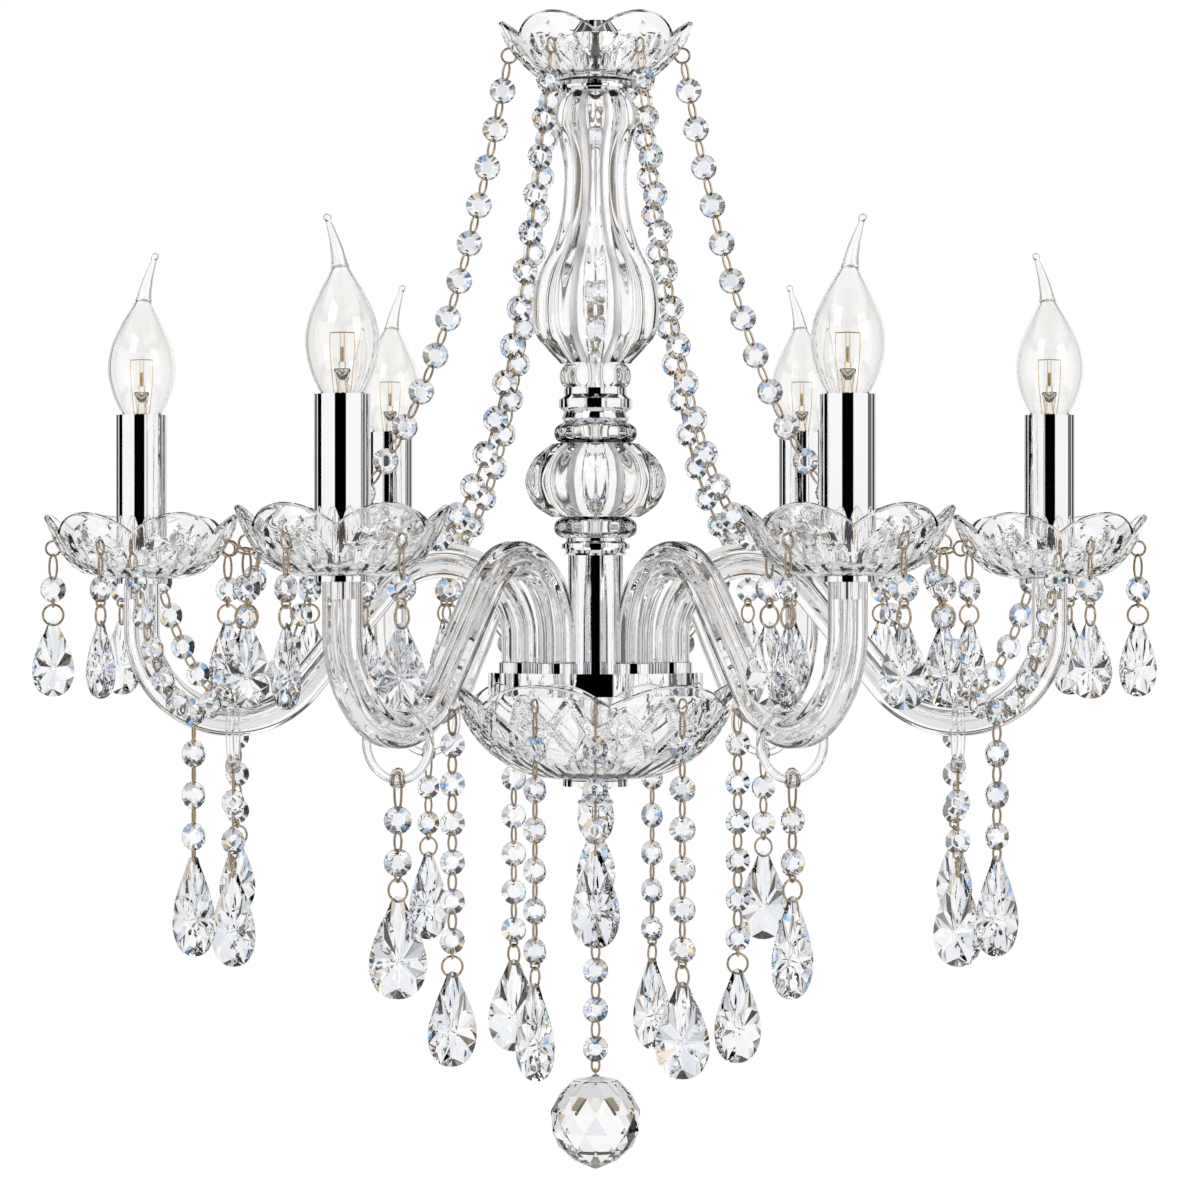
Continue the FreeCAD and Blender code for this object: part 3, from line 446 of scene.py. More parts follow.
def melon(low, high, radius):
    line = smooth_line([Vector((r * radius, low + z * (high - low))) for r, z in COLLAR_SHARES], 5)
    rings = [lobed_ring(reach, level, COLLAR_LOBES, COLLAR_POINTS, COLLAR_FLUTE) for reach, level in line]
    rings += [level_ring(BORE, level, COLLAR_LOBES * COLLAR_POINTS) for level in (high, low)]
    return weave(rings, True)


low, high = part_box("vase_foot_bead")
fixed_glass("vase_foot_ring", melon(low.z, high.z, high.x), "vase_foot_bead")
low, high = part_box("ball_collars")
ball_low, ball_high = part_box("lobed_ball")
upper = melon(ball_high.z, high.z, high.x)
lower = melon(low.z, ball_low.z, high.x)
fixed_glass("ball_collar_rings", join([upper, lower]), "ball_collars")
print("collars:", len(upper[1]), "faces each")

# %% [markdown]
# ## Pressed and cut dishes
#
# The dish at the top, the drip pans and the bowl are thick glass with a rim of six lobes, one for each
# arm. On the real object the cuts are ground into the outside with a wheel, so only the outer face is
# cut here. The pans and the top dish have long petals; the bowl has a lattice of small diamonds.

# %% Rims with lobes and cuts in the outer face
CUP_SHARES = [(0.4, 0), (0.62, 0.1), (0.8, 0.35), (0.93, 0.7), (1, 1), (1.03, 1.16)]
DISH_SHARES = [(0.44, 0), (0.58, 0.1), (0.78, 0.38), (0.92, 0.7), (1, 1), (1.04, 1.16)]
BOWL_SHARES = [(0.21, 0), (0.5, 0.08), (0.75, 0.3), (0.92, 0.65), (1, 1), (1.025, 1.16)]
GLASS_WALL = 3.6 * MM
RIM_NOTCH = 10 * MM
LIP = 0.45
DISH_ROWS = 44
DISH_POINTS = 288
DIAMONDS = 18
# Cuts on one lobe: place from its middle, lowest and highest share of the rise, and half width.
LEAVES = [
    (0.125, 0.06, 0.66, 0.085), (0.375, 0.06, 0.58, 0.085), (0.0, 0.4, 0.86, 0.08), (0.25, 0.4, 0.76, 0.08),
]
# Heights in the bowl's pattern are shares of its rise; reaches and widths are shares of a diamond.
DIAMOND_MIDDLE = 0.58
DIAMOND_HEIGHT = 0.66
PATTERN_TOP = 0.93
LATTICE_FOOT = 0.22
RAY_TOP = 0.24
RAY_FADE = 0.03
GROOVE_WIDTH = 0.22
STAR_REACH = 0.4
STAR_RAY = 0.045
SQUARE_REACH = 0.36
SQUARE_BEVEL = 0.07
SQUARE_DEPTH = 0.55


def line_table(shares, radius, low, high, steps=400):
    """Radius and height at many places along a dish's outline, for looking up by height."""
    points = [Vector((r * radius, low + z * (high - low))) for r, z in shares]
    line = smooth_line(points, steps // (len(points) - 1))
    return np.array([p.x for p in line]), np.array([p.y for p in line])


def wave(x):
    """1 at whole numbers and 0 half-way between them, with straight flanks."""
    return abs(2 * (x - np.floor(x)) - 1)


def petals(turn, rise):
    """Four long leaf-shaped cuts on each lobe, and three short ones between their tips."""
    local = (ARMS * turn + 0.5) % 1 - 0.5
    deepest = np.zeros_like(rise)
    for middle, low, high, width in LEAVES:
        along = np.clip((rise - low) / (high - low), 0, 1)
        half = width * np.sin(pi * along) ** 0.8 + 1e-6
        for side in (-1, 1):
            cut = 1 - np.abs(local - side * middle) / half
            deepest = np.maximum(deepest, cut * (along > 0) * (along < 1))
    return np.clip(deepest, 0, 1)


def diamonds(turn, rise):
    """A ring of diamonds, star cuts and sunk squares by turns, with rays below them."""
    place = DIAMONDS * turn
    number = np.round(place)
    x = place - number
    y = (rise - DIAMOND_MIDDLE) / DIAMOND_HEIGHT
    lattice = np.maximum(wave(place + y + 0.5), wave(place - y + 0.5))
    groove = np.clip((lattice - 1 + GROOVE_WIDTH) / GROOVE_WIDTH, 0, 1) * (rise > LATTICE_FOOT)
    span = np.abs(x) + np.abs(y)
    turn_to_line = np.arctan2(y, x) % (pi / 4)
    off_line = np.hypot(x, y) * np.sin(np.minimum(turn_to_line, pi / 4 - turn_to_line))
    star = np.clip(1 - off_line / STAR_RAY, 0, 1) * np.clip(1 - span / STAR_REACH, 0, 1) ** 0.4
    square = SQUARE_DEPTH * np.clip((SQUARE_REACH - span) / SQUARE_BEVEL, 0, 1)
    inside = np.where(number % 2 == 0, star, square) * (span < STAR_REACH)
    rays = wave(2 * DIAMONDS * turn) * np.clip((RAY_TOP - rise) / RAY_FADE, 0, 1)
    return np.where(rise > PATTERN_TOP, 0.0, np.maximum(np.maximum(groove, inside), rays))


def dish_shape(shares, radius, depth, floor, bore, turn, cuts, cut_depth,
               points=DISH_POINTS, row_count=DISH_ROWS):
    """A dish on a foot at height 0: turned, drawn in between six lobes with arched rims, and cut outside."""
    outer_r, outer_z = line_table(shares, radius, 0, depth)
    inner_r, inner_z = line_table(shares, radius - GLASS_WALL, floor, depth)
    half = STEP / 2
    notch = np.interp(depth - RIM_NOTCH / 2, outer_z, outer_r)
    sweep = notch * sin(half)
    fall = (sweep ** 2 + RIM_NOTCH ** 2) / (2 * RIM_NOTCH)
    chord = radius - notch * cos(half)
    arc = (sweep ** 2 + chord ** 2) / (2 * chord)
    columns = []
    for i in range(points):
        angle = 2 * pi * i / points
        local = (angle - turn + half) % STEP - half
        plan = (radius - arc) * cos(local) + sqrt(arc ** 2 - ((radius - arc) * sin(local)) ** 2)
        side = plan * sin(local)
        rim = depth - fall + sqrt(fall ** 2 - side ** 2)
        squeeze = min(1, plan / np.interp(rim, outer_z, outer_r))
        rows = (np.arange(row_count) / (row_count - 1)) ** 0.8
        top = rim - LIP * GLASS_WALL
        level = rows * top
        narrowed = 1 - (1 - squeeze) * rows ** 1.4
        reach = np.interp(level, outer_z, outer_r) * narrowed
        fade = np.clip(np.minimum(rows / 0.08, (1 - rows) / 0.04), 0, 1)
        reach = reach - cut_depth * cuts(angle / (2 * pi), rows) * fade
        inner_level = (1 - rows) * (top - floor) + floor
        inner = np.interp(inner_level, inner_z, inner_r) * (1 - (1 - squeeze) * (1 - rows) ** 1.4)
        column = [(bore, 0.0)] + list(zip(reach, level))
        edge_r, edge_in = reach[-1], inner[0]
        for share in (0.15, 0.5, 0.85):
            lift = (1 - (2 * share - 1) ** 2) ** 0.5
            column.append((edge_r + (edge_in - edge_r) * share, top + LIP * GLASS_WALL * lift))
        column += list(zip(inner, inner_level)) + [(bore, floor)]
        columns.append([spread(angle) * float(r) + UP * float(z) for r, z in column])
    return weave(columns, True)


def placed(shape, offset, angle=0.0):
    """The shape turned about the column and then moved."""
    turn = Matrix.Rotation(angle, 3, "Z")
    return [turn @ point + offset for point in shape[0]], shape[1]


# %% The three kinds of dish
STUD_HOLE = 4.9 * MM
ARM_REACH = 236 * MM
TOP_DISH_RADIUS = 51.5 * MM
TOP_DISH_DEPTH = 32.6 * MM
BOWL_RADIUS = 75.5 * MM
BOWL_DEPTH = 51 * MM
BOWL_TURN = radians(6)
CUP_RADIUS = 51 * MM
CUP_DEPTH = 33.8 * MM
DISH_FLOOR = 4 * MM
BOWL_FLOOR = 5 * MM
PETAL_DEPTH = 1.3 * MM
DIAMOND_DEPTH = 1.1 * MM
CUT_EDGE = 14     # degrees, above which an edge of a cut is shaded sharp

top_dish = dish_shape(DISH_SHARES, TOP_DISH_RADIUS, TOP_DISH_DEPTH, DISH_FLOOR, BORE, 0, petals, PETAL_DEPTH)
fixed_glass("top_dish_glass", placed(top_dish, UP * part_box("top_dish")[0].z), "top_dish", CUT_EDGE)
bowl = dish_shape(BOWL_SHARES, BOWL_RADIUS, BOWL_DEPTH, BOWL_FLOOR, BORE, BOWL_TURN, diamonds, DIAMOND_DEPTH,
                  points=432, row_count=70)
fixed_glass("bowl_glass", placed(bowl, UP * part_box("bowl")[0].z), "bowl", CUT_EDGE)
cup = dish_shape(CUP_SHARES, CUP_RADIUS, CUP_DEPTH, DISH_FLOOR, STUD_HOLE, 0, petals, PETAL_DEPTH)
cup_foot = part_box("cup_1")[0].z
for k in range(ARMS):
    place = spread(STEP * k) * ARM_REACH + UP * cup_foot
    fixed_glass(f"cup_{k + 1}_glass", placed(cup, place, STEP * k), f"cup_{k + 1}", CUT_EDGE)
print("dishes:", len(cup[1]), "faces in a drip pan,", len(bowl[1]), "in the bowl")

# %% [markdown]
# ## Arms
#
# Each arm is a glass rod, bent hot over a former: up from the drum, over a crest, down through a dip
# and up to its drip pan. Fine lengthwise flutes and the bore for the lead make its bright and dark lines.

# %% A bent rod with flutes
ARM_RADIUS = 9.5 * MM
ARM_BORE = 3.2 * MM
ARM_FLUTES = 8
ARM_FLUTE_POINTS = 12
FLUTE_DEPTH = 0.5 * MM
FOOT = Vector((39.8, 0, -337.3)) * MM
CREST = Vector((79.8, 0, -320.0)) * MM
CREST_RADIUS = 40 * MM
DIP = Vector((188.394, 0, -314.894)) * MM
DIP_RADIUS = 47.606 * MM
ARM_TOP = -292.2 * MM
SLOPE = radians(51)


def arc_points(centre, radius, start, end, steps):
    """Points round an arc in the XZ plane, each with its angle from the X axis."""
    angles = [start + (end - start) * i / steps for i in range(steps + 1)]
    return [(centre + Vector((cos(t), 0, sin(t))) * radius, t) for t in angles]


def arm_line():
    """Points of the arm's centre line with the direction of travel at each."""
    line = [(FOOT, pi / 2)]
    line += [(p, t - pi / 2) for p, t in arc_points(CREST, CREST_RADIUS, pi, pi / 2 - SLOPE, 40)]
    line += [(p, t + pi / 2) for p, t in arc_points(DIP, DIP_RADIUS, -pi / 2 - SLOPE, 0, 44)]
    line.append((Vector((ARM_REACH, 0, ARM_TOP)), pi / 2))
    return line


def swept(line, section):
    """Rings of a cross-section of (sideways, outward) shares along a line in the XZ plane."""
    rings = []
    for point, heading in line:
        out = Vector((-sin(heading), 0, cos(heading)))
        rings.append([point + Vector((0, side, 0)) + out * high for side, high in section])
    return rings


def flute_section(radius, depth):
    """The arm's cross-section, with its flutes; at a depth of 0 it is round."""
    section = []
    for i, t in enumerate(circle(ARM_FLUTES * ARM_FLUTE_POINTS)):
        reach = radius - depth * abs(cos(pi * i / ARM_FLUTE_POINTS)) ** 2
        section.append((reach * sin(t), reach * cos(t)))
    return section


outside = swept(arm_line(), flute_section(ARM_RADIUS, FLUTE_DEPTH))
inside = swept(arm_line(), flute_section(ARM_BORE, 0))
arm = weave(outside + inside[::-1], True)
for k in range(ARMS):
    fixed_glass(f"arm_{k + 1}_glass", placed(arm, Vector(), STEP * k), f"arm_{k + 1}", 40, ARM_GLASS)
print("arm:", len(arm[1]), "faces")

# %% [markdown]
# ## Rings over the arms
#
# A thick glass ring hangs loose over the dip of each arm, and a small glass bead on it keeps the chain
# below in the middle.

# %% Glass rings
RING_RADIUS = 18 * MM
RING_WIRE = 2.2 * MM
RING_CENTRE = Vector((188.394, 0, -368.5)) * MM


def torus(centre, radius, wire, first, second, around=64, section=16):
    """A ring in the plane of two unit vectors."""
    third = first.cross(second)
    rings = []
    for turn in circle(around):
        out = first * cos(turn) + second * sin(turn)
        middle = centre + out * radius
        rings.append([middle + (out * cos(t) + third * sin(t)) * wire for t in circle(section)])
    return weave(rings, True)


RING_FOOT = RING_CENTRE - UP * RING_RADIUS
# Radius and height in millimetres of the lug's outline, from the middle of the ring's wire.
LUG_OUTLINE = [
    (0, -4.4), (2.4, -4.1), (3.7, -2.8), (4.3, -0.8), (4.1, 1.2), (3.4, 3.0), (2.9, 4.4), (1.8, 5.6),
    (0, 6.1),
]
ring = torus(RING_CENTRE, RING_RADIUS, RING_WIRE, ACROSS, UP, 96, 20)
lug = placed(turned(millimetres(LUG_OUTLINE), 32), RING_FOOT)
for k in range(ARMS):
    body = f"ring_{k + 1}"
    for part, shape, nodes in (("glass", ring, [body]), ("lug", lug, [])):
        add_piece(f"{body}_{part}", placed(shape, Vector(), STEP * k), PRESSED_GLASS, body,
                  nodes, 60)
print("ring:", len(ring[1]), "faces")

# %% [markdown]
# ## Candle bulbs
#
# A flame-tip lamp is a thin blown bulb with its tip drawn out and bent while it was hot. Inside stand a
# flared glass stem, two lead wires and the supports of the filament.

# %% Envelope, stem and cap
BULB_ROWS = [
    (0, 0.4, 0), (0.053, 0.57, 0), (0.17, 0.85, 0), (0.31, 1, 0), (0.45, 0.91, 0), (0.59, 0.6, 0.01),
    (0.715, 0.26, 0.05), (0.83, 0.165, 0.16), (0.92, 0.105, 0.3), (0.955, 0.08, 0.36), (0.972, 0.105, 0.385),
    (0.986, 0.11, 0.4), (0.996, 0.08, 0.41), (1, 0.03, 0.41),
]
BULB_RADIUS = 17.5 * MM
BULB_HEIGHT = 89 * MM
BULB_WALL = 1.2 * MM
BULB_SIDES = 48
TIP_ANGLES = (180, 180, 0, 0, 180, 0)
# Radius and height in millimetres of the glass stem, and of the screw cap below the envelope.
STEM_OUTLINE = [
    (0, 0.2), (5.0, 0.2), (4.0, 1.5), (3.0, 3), (2.5, 6), (2.6, 9), (3.4, 13), (3.9, 16.5), (3.6, 16.8),
    (1.2, 12), (0, 11.5),
]
CAP_THREAD = [(6.9 - 0.8 * (i % 2), -21 + 1.3 * i) for i in range(13)]
CAP_OUTLINE = [
    (0, -25.7), (4, -25.7), (5, -24), (7, -22), *CAP_THREAD, (6.9, -4), (7, -1), (7, -0.05), (0, -0.05),
]


def bulb_rings(wall, last):
    """Rings of the envelope up to a share of its height, set in by the wall."""
    rows = smooth_line([Vector((width, rise, shift)) for rise, width, shift in BULB_ROWS], 6)
    rings = []
    for width, rise, shift in rows:
        if rise > last:
            break
        centre = Vector((shift * BULB_RADIUS, 0, rise * BULB_HEIGHT))
        rings.append([centre + spread(t) * (width * BULB_RADIUS - wall) for t in circle(BULB_SIDES)])
    return rings


def end_cap(ring, out):
    """A small dome over the last ring of a tube."""
    centre = sum(ring, Vector()) / len(ring)
    radius = (ring[0] - centre).length
    rows = []
    for step in (0.35, 0.7, 0.97):
        lift = out * (radius * step)
        rows.append([centre + (point - centre) * sqrt(1 - step ** 2) + lift for point in ring])
    return rows


def lamp_shape():
    outside = bulb_rings(0, 1)
    inside = bulb_rings(BULB_WALL, 0.72)
    tip = end_cap(outside[-1], Vector((0.45, 0, 0.9)).normalized() * 0.9)
    close = end_cap(inside[-1], UP * 0.4)
    rings = close[::-1] + inside[::-1] + outside + tip
    return closed_off(weave(rings, False), BULB_SIDES)


# %% Filament
# Points (x, y, z) in millimetres of the right-hand wires. Half a turn gives the left-hand ones.
FILAMENT_TOP = 33.4
LEAD_WIRE = [(3.3, 0, 1), (4.4, 0, 10), (5.4, 0, 20), (5.8, 0, 28), (5.7, 0, FILAMENT_TOP)]
COIL_SUPPORT = [(1.9, 0.3, 3), (1.2, 0.3, 9), (0.5, 0.3, 15), (1.3, 0.3, 17), (1.4, 0.3, 20)]
COIL_HANGER = [(0.9, 0, 27), (0.9, 0, FILAMENT_TOP)]
CROSS_WIRE = [(-5.9, 0, FILAMENT_TOP), (0, 0, FILAMENT_TOP + 0.3), (5.9, 0, FILAMENT_TOP)]
CRIMP_ANGLES = [pi * i / 10 for i in range(11)]
CRIMP = [(2.6 * cos(t), 2.6 * sin(t), 4 + 1.6 * (i % 2)) for i, t in enumerate(CRIMP_ANGLES)]
COIL_FOOT = 20
COIL_HEIGHT = 7
COIL_TURNS = 13
TURN_POINTS = 12


def lamp_wire(points, radius, side=1, sides=8):
    return wire_along([Vector((side * x, side * y, z)) * MM for x, y, z in points], radius * MM, sides)


def filament_shape():
    """The lead wires, the cross wire between them, and the coil on its supports and hangers."""
    parts = []
    for side in (-1, 1):
        parts.append(lamp_wire(LEAD_WIRE, 0.22, side))
        parts.append(lamp_wire(COIL_SUPPORT, 0.3, side))
        parts.append(lamp_wire(COIL_HANGER, 0.18, side))
        # The crimp is only mirrored front to back.
        parts.append(lamp_wire([(side * x, y, z) for x, y, z in CRIMP], 0.4, side))
    parts.append(lamp_wire(CROSS_WIRE, 0.26))
    count = COIL_TURNS * TURN_POINTS
    coil = []
    for i in range(count + 1):
        turn = 2 * pi * i / TURN_POINTS
        coil.append((cos(turn), sin(turn), COIL_FOOT + COIL_HEIGHT * i / count))
    parts.append(lamp_wire(coil, 0.2, 1, 6))
    return join(parts)


# %% Six bulbs in their holders
lamp = lamp_shape()
stem = turned(millimetres(STEM_OUTLINE))
cap = turned(millimetres(CAP_OUTLINE), 40)
filament = filament_shape()
BULB_SEAT = -209.3 * MM
for k in range(ARMS):
    place = spread(STEP * k) * ARM_REACH + UP * BULB_SEAT
    turn = radians(TIP_ANGLES[k])
    body = f"bulb_{k + 1}"
    add_piece(f"{body}_envelope", placed(lamp, place, turn), BULB_GLASS, body, [body], 50)
    add_piece(f"{body}_stem", placed(stem, place, turn), BULB_GLASS, body, [], 50)
    add_piece(f"{body}_filament", placed(filament, place, turn), LAMP_WIRE, body, [], 60)
    add_piece(f"{body}_cap", placed(cap, place, turn), LAMP_WIRE, body, [], 35)
print("bulbs:", len(lamp[1]), "faces in an envelope")

# %% [markdown]
# ## Finding the stones and wires of a string
#
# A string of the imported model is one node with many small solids. Each solid is found as an island of
# its mesh, and its volume's moments and its largest flat face tell where it is and how it lies. The
# cut stones and round wires are then built in the same places.

# %% Islands, their places and their lie


class Island:
    """One closed solid of a node: its middle, its face normal, and its long and thin axes."""

    def __init__(self, points, triangles):
        corners = points[triangles]
        cross = np.cross(corners[:, 1] - corners[:, 0], corners[:, 2] - corners[:, 0])
        origin = points.mean(0)
        local = corners - origin
        volumes = np.einsum("ij,ij->i", local[:, 0], np.cross(local[:, 1], local[:, 2])) / 6
        total = volumes.sum()
        self.middle = origin + (volumes[:, None] * local.sum(1) / 4).sum(0) / total
        moved = corners - self.middle
        summed = moved.sum(1)
        moments = np.einsum("t,tij->ij", volumes, np.einsum("tai,taj->tij", moved, moved)
                            + np.einsum("ti,tj->tij", summed, summed)) / 20 / total
        axes = np.linalg.eigh(moments)[1]
        self.long = axes[:, 2]
        self.thin = axes[:, 0]
        self.face = self.widest_face(cross)
        self.points = points
        self.top = Vector((self.middle[0], self.middle[1], points[:, 2].max()))

    def widest_face(self, cross):
        """The direction that the largest area of flat faces looks in."""
        best = None
        most = 0
        areas = np.linalg.norm(cross, axis=1)
        units = cross / np.maximum(areas, 1e-12)[:, None]
        for i in np.argsort(areas)[-30:]:
            total = areas[np.abs(units @ units[i]) > 0.999].sum()
            if total > most:
                most = total
                best = units[i]
        return best

    def extent(self, axis):
        reach = (self.points - self.middle) @ axis
        return reach.max() - reach.min()


def islands(node):
    """The separate solids of a node."""
    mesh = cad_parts[node].data
    mesh.calc_loop_triangles()
    places = np.empty(len(mesh.vertices) * 3)
    mesh.vertices.foreach_get("co", places)
    places = places.reshape(-1, 3)
    triangles = np.empty(len(mesh.loop_triangles) * 3, dtype=np.int32)
    mesh.loop_triangles.foreach_get("vertices", triangles)
    triangles = triangles.reshape(-1, 3)
    welded, back = np.unique(np.round(places, 7), axis=0, return_inverse=True)
    triangles = back.reshape(-1)[triangles]
    label = np.arange(len(welded))
    while True:
        least = label[triangles].min(1)
        new = label.copy()
        for corner in range(3):
            np.minimum.at(new, triangles[:, corner], least)
        new = new[new]
        if (new == label).all():
            break
        label = new
    found = []
    for key in np.unique(label[triangles[:, 0]]):
        mine = triangles[label[triangles[:, 0]] == key]
        used, again = np.unique(mine, return_inverse=True)
        found.append(Island(welded[used], again.reshape(-1, 3)))
    return found


# %% [markdown]
# ## Cut stones
#
# A bead has a table on each face and a ring of wedge facets round it. A drop is cut in kites that meet
# in one point, with slim triangles between them at the rim. Real cutters keep every facet flat, so the
# stones are shaded flat, and the light breaks up at each edge.

# %% Cuts of a bead and a drop
BEAD_RADIUS = 6.8 * MM
BEAD_HALF_DEPTH = 2.3 * MM
DICE = random.Random(7)
# Painted light for the facets: bluish and amber glints, grey shade, and dark shade with dark glints.
PAINTED_GLINTS = [(0.14, 0.36, 0.88), (0.45, 0.62, 1.0), (1.0, 0.66, 0.32), (0.5, 0.85, 1.0), (0.72, 0.64, 1.0)]
PAINTED_GREY_SHADE = [(0.68, 0.72, 0.79), (0.82, 0.85, 0.9), (0.55, 0.58, 0.64)]
PAINTED_DARK_FACETS_AND_GLINTS = [(0.2, 0.4, 0.85), (0.3, 0.33, 0.4), (1.0, 0.74, 0.44), (0.2, 0.22, 0.27)]


def bead_cut(radius, half_depth, sides, table_share, girdle):
    """A round bead: a table on each face and one long wedge-shaped facet for each side."""
    rings = []
    for side in (-1, 1):
        angles = [2 * pi * (i + side / 4) / sides for i in range(sides)]
        wide = [Vector((radius * cos(t), side * girdle, radius * sin(t))) for t in angles]
        table = [Vector((p.x * table_share, side * half_depth, p.z * table_share)) for p in wide]
        rings += [table, wide] if side < 0 else [wide, table]
    return closed_off(weave(rings, False), sides)


def kite_cut(outline, apex, half_depth, star_share, star_height, girdle):
    """Both faces of a drop, with four points of its outline for each kite, so that the rim stays round."""
    count = len(outline)
    kites = count // 4
    points = []
    faces = []
    for side in (-1, 1):
        base = len(points)
        points.append(Vector((apex[0], side * half_depth, apex[1])))
        for i in range(kites):
            x, z = outline[4 * i + 2]
            kite_x = apex[0] + (x - apex[0]) * star_share
            kite_z = apex[1] + (z - apex[1]) * star_share
            points.append(Vector((kite_x, side * star_height, kite_z)))
        points += [Vector((x, side * girdle, z)) for x, z in outline]
        rim = base + 1 + kites
        for i in range(kites):
            star = base + 1 + i
            before = base + 1 + (i - 1) % kites
            faces.append((base, before, rim + 4 * i, star))
            corners = [rim + (4 * i + j) % count for j in range(5)]
            faces += [(star, corners[j], corners[j + 1]) for j in range(4)]
    second = len(points) - count
    first = 1 + kites
    for i in range(count):
        after = (i + 1) % count
        faces.append((first + i, first + after, second + after, second + i))
    return points, faces


DROP_SHARES = [
    (0.15, 1), (0.24, 0.95), (0.37, 0.86), (0.6, 0.73), (0.86, 0.55), (1, 0.37), (0.94, 0.21), (0.7, 0.08),
    (0.35, 0.015), (0, 0),
]
DROP_WIDTH = 0.56
DROP_DEPTH = 0.36
DROP_EDGE = 2.6 * MM
DROP_APEX = 0.36
DROP_KITES = 9
STAR_SHARE = 0.68
STAR_HEIGHT = 0.62
GIRDLE = 0.3 * MM


def drop_outline(length):
    """The pear outline as evenly spaced points, with its origin at the hole."""
    half = length * DROP_WIDTH / 2
    right = smooth_line([Vector((x * half, (z - 1) * length + DROP_EDGE)) for x, z in DROP_SHARES], 12)
    loop = [Vector((0, DROP_EDGE))] + right + [Vector((-p.x, p.y)) for p in reversed(right[:-1])]
    loop.append(loop[0])
    run = [0]
    for i in range(1, len(loop)):
        run.append(run[-1] + (loop[i] - loop[i - 1]).length)
    count = 4 * DROP_KITES
    places = [run[-1] * i / count for i in range(count)]
    xs = np.interp(places, run, [p.x for p in loop])
    zs = np.interp(places, run, [p.y for p in loop])
    return list(zip(xs.tolist(), zs.tolist()))


BEAD_SIDES = 14
TABLE_SHARE = 0.42
BEAD_SHAPE = bead_cut(BEAD_RADIUS, BEAD_HALF_DEPTH, BEAD_SIDES, TABLE_SHARE, GIRDLE)
# A stone turns freely on its links: how far its face leans towards the front or the back.
BEAD_LEAN = 1.3
DROP_LEAN = 0.7


def drop_shape(length):
    half = length * DROP_WIDTH / 2 * DROP_DEPTH
    apex = (0.0, (DROP_APEX - 1) * length + DROP_EDGE)
    return kite_cut(drop_outline(length), apex, half, STAR_SHARE, half * STAR_HEIGHT, GIRDLE)


SMALL_DROP = drop_shape(40 * MM)
LARGE_DROP = drop_shape(49.5 * MM)
print("stones:", len(BEAD_SHAPE[1]), "facets on a bead,", len(SMALL_DROP[1]), "on a drop")

# %% Links, bails and hooks
LINK_WIRE = 0.62 * MM
LINK_HALF = 2.0 * MM


def oval(length):
    """A closed oval of round wire in the YZ plane, as long as its centre line."""
    path = [Vector((0, LINK_HALF * cos(t), length / 2 * sin(t))) for t in circle(24)]
    rings = []
    for i, point in enumerate(path):
        ahead = (path[(i + 1) % len(path)] - path[i - 1]).normalized()
        third = ahead.cross(SIDEWAYS)
        rings.append([point + (SIDEWAYS * cos(t) + third * sin(t)) * LINK_WIRE for t in circle(8)])
    return weave(rings, True)


def bail(length):
    """A small ring above a round bail, together as long as the link that they stand for."""
    small = 2.3 * MM
    large = (length + LINK_WIRE * 2 - 2 * small) / 2
    upper = torus(UP * (length / 2 - small), small, LINK_WIRE, SIDEWAYS, UP, 24, 8)
    lower = torus(UP * (large - length / 2), large, LINK_WIRE, ACROSS, UP, 32, 8)
    return join([upper, lower])


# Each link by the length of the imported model's own link in millimetres, without its round ends.
LINKS = {11: oval(9.8 * MM), 8: oval(7.4 * MM), 14: bail(14 * MM), 18: oval(18 * MM)}
LINK_ENDS = 0.9
HOOK = torus(Vector(), 3.8 * MM, LINK_WIRE, SIDEWAYS, UP, 32, 8)
HOOK_LINK = oval(13.4 * MM)
print("links:", len(LINKS), "lengths")

# %% Which cut stone or wire stands for an island


def set_in(shape, middle, across, along):
    """The shape with its Y turned to one direction and its Z to another."""
    z = Vector(along).normalized()
    y = Vector(across)
    y = (y - z * y.dot(z)).normalized()
    x = y.cross(z)
    turn = Matrix((x, y, z)).transposed()
    return [turn @ p + Vector(middle) for p in shape[0]], shape[1]


def leaning(face, share):
    """A stone's face direction, turned towards the front or the back, whichever it looks to."""
    return Vector(face) + ACROSS * (share if face[1] > 0 else -share)


# A wire is thin, a hook is wide, and a drop is long.
WIRE_THICKNESS = 2 * MM
HOOK_WIDTH = 8 * MM
DROP_LENGTH = 20 * MM
LARGE_DROP_LENGTH = 45 * MM
# A link whose foot is this near to the top of a drop is that drop's bail.
BAIL_REACH = 7 * MM


def is_drop(one):
    return one.extent(one.long) > DROP_LENGTH


def dress_stone(one):
    """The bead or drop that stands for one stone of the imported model."""
    if not is_drop(one):
        return set_in(BEAD_SHAPE, one.middle, leaning(one.face, BEAD_LEAN), UP)
    drop = SMALL_DROP if one.extent(np.array(UP)) < LARGE_DROP_LENGTH else LARGE_DROP
    return set_in(drop, one.top - UP * DROP_EDGE, leaning(one.face, DROP_LEAN), UP)


def dress_wire(one, drop_tops):
    """The link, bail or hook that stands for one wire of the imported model."""
    if one.extent(np.cross(one.thin, one.long)) > HOOK_WIDTH:
        return set_in(HOOK, one.middle, one.thin, UP)
    size = one.extent(one.long)
    key = min(LINKS, key=lambda known: abs(known + LINK_ENDS - size / MM))
    foot = Vector(one.middle) - UP * size / 2
    over_drop = any((foot - top).length < BAIL_REACH for top in drop_tops)
    shape = HOOK_LINK if key == 14 and not over_drop else LINKS[key]
    along = Vector(one.long)
    return set_in(shape, one.middle, one.thin, along if along.z > 0 else -along)


def dress(found):
    """The (points, faces) of the crystal and of the wire for a list of islands."""
    stones = [one for one in found if one.extent(one.thin) >= WIRE_THICKNESS]
    wires = [one for one in found if one.extent(one.thin) < WIRE_THICKNESS]
    drop_tops = [one.top for one in stones if is_drop(one)]
    return [dress_stone(one) for one in stones], [dress_wire(one, drop_tops) for one in wires]
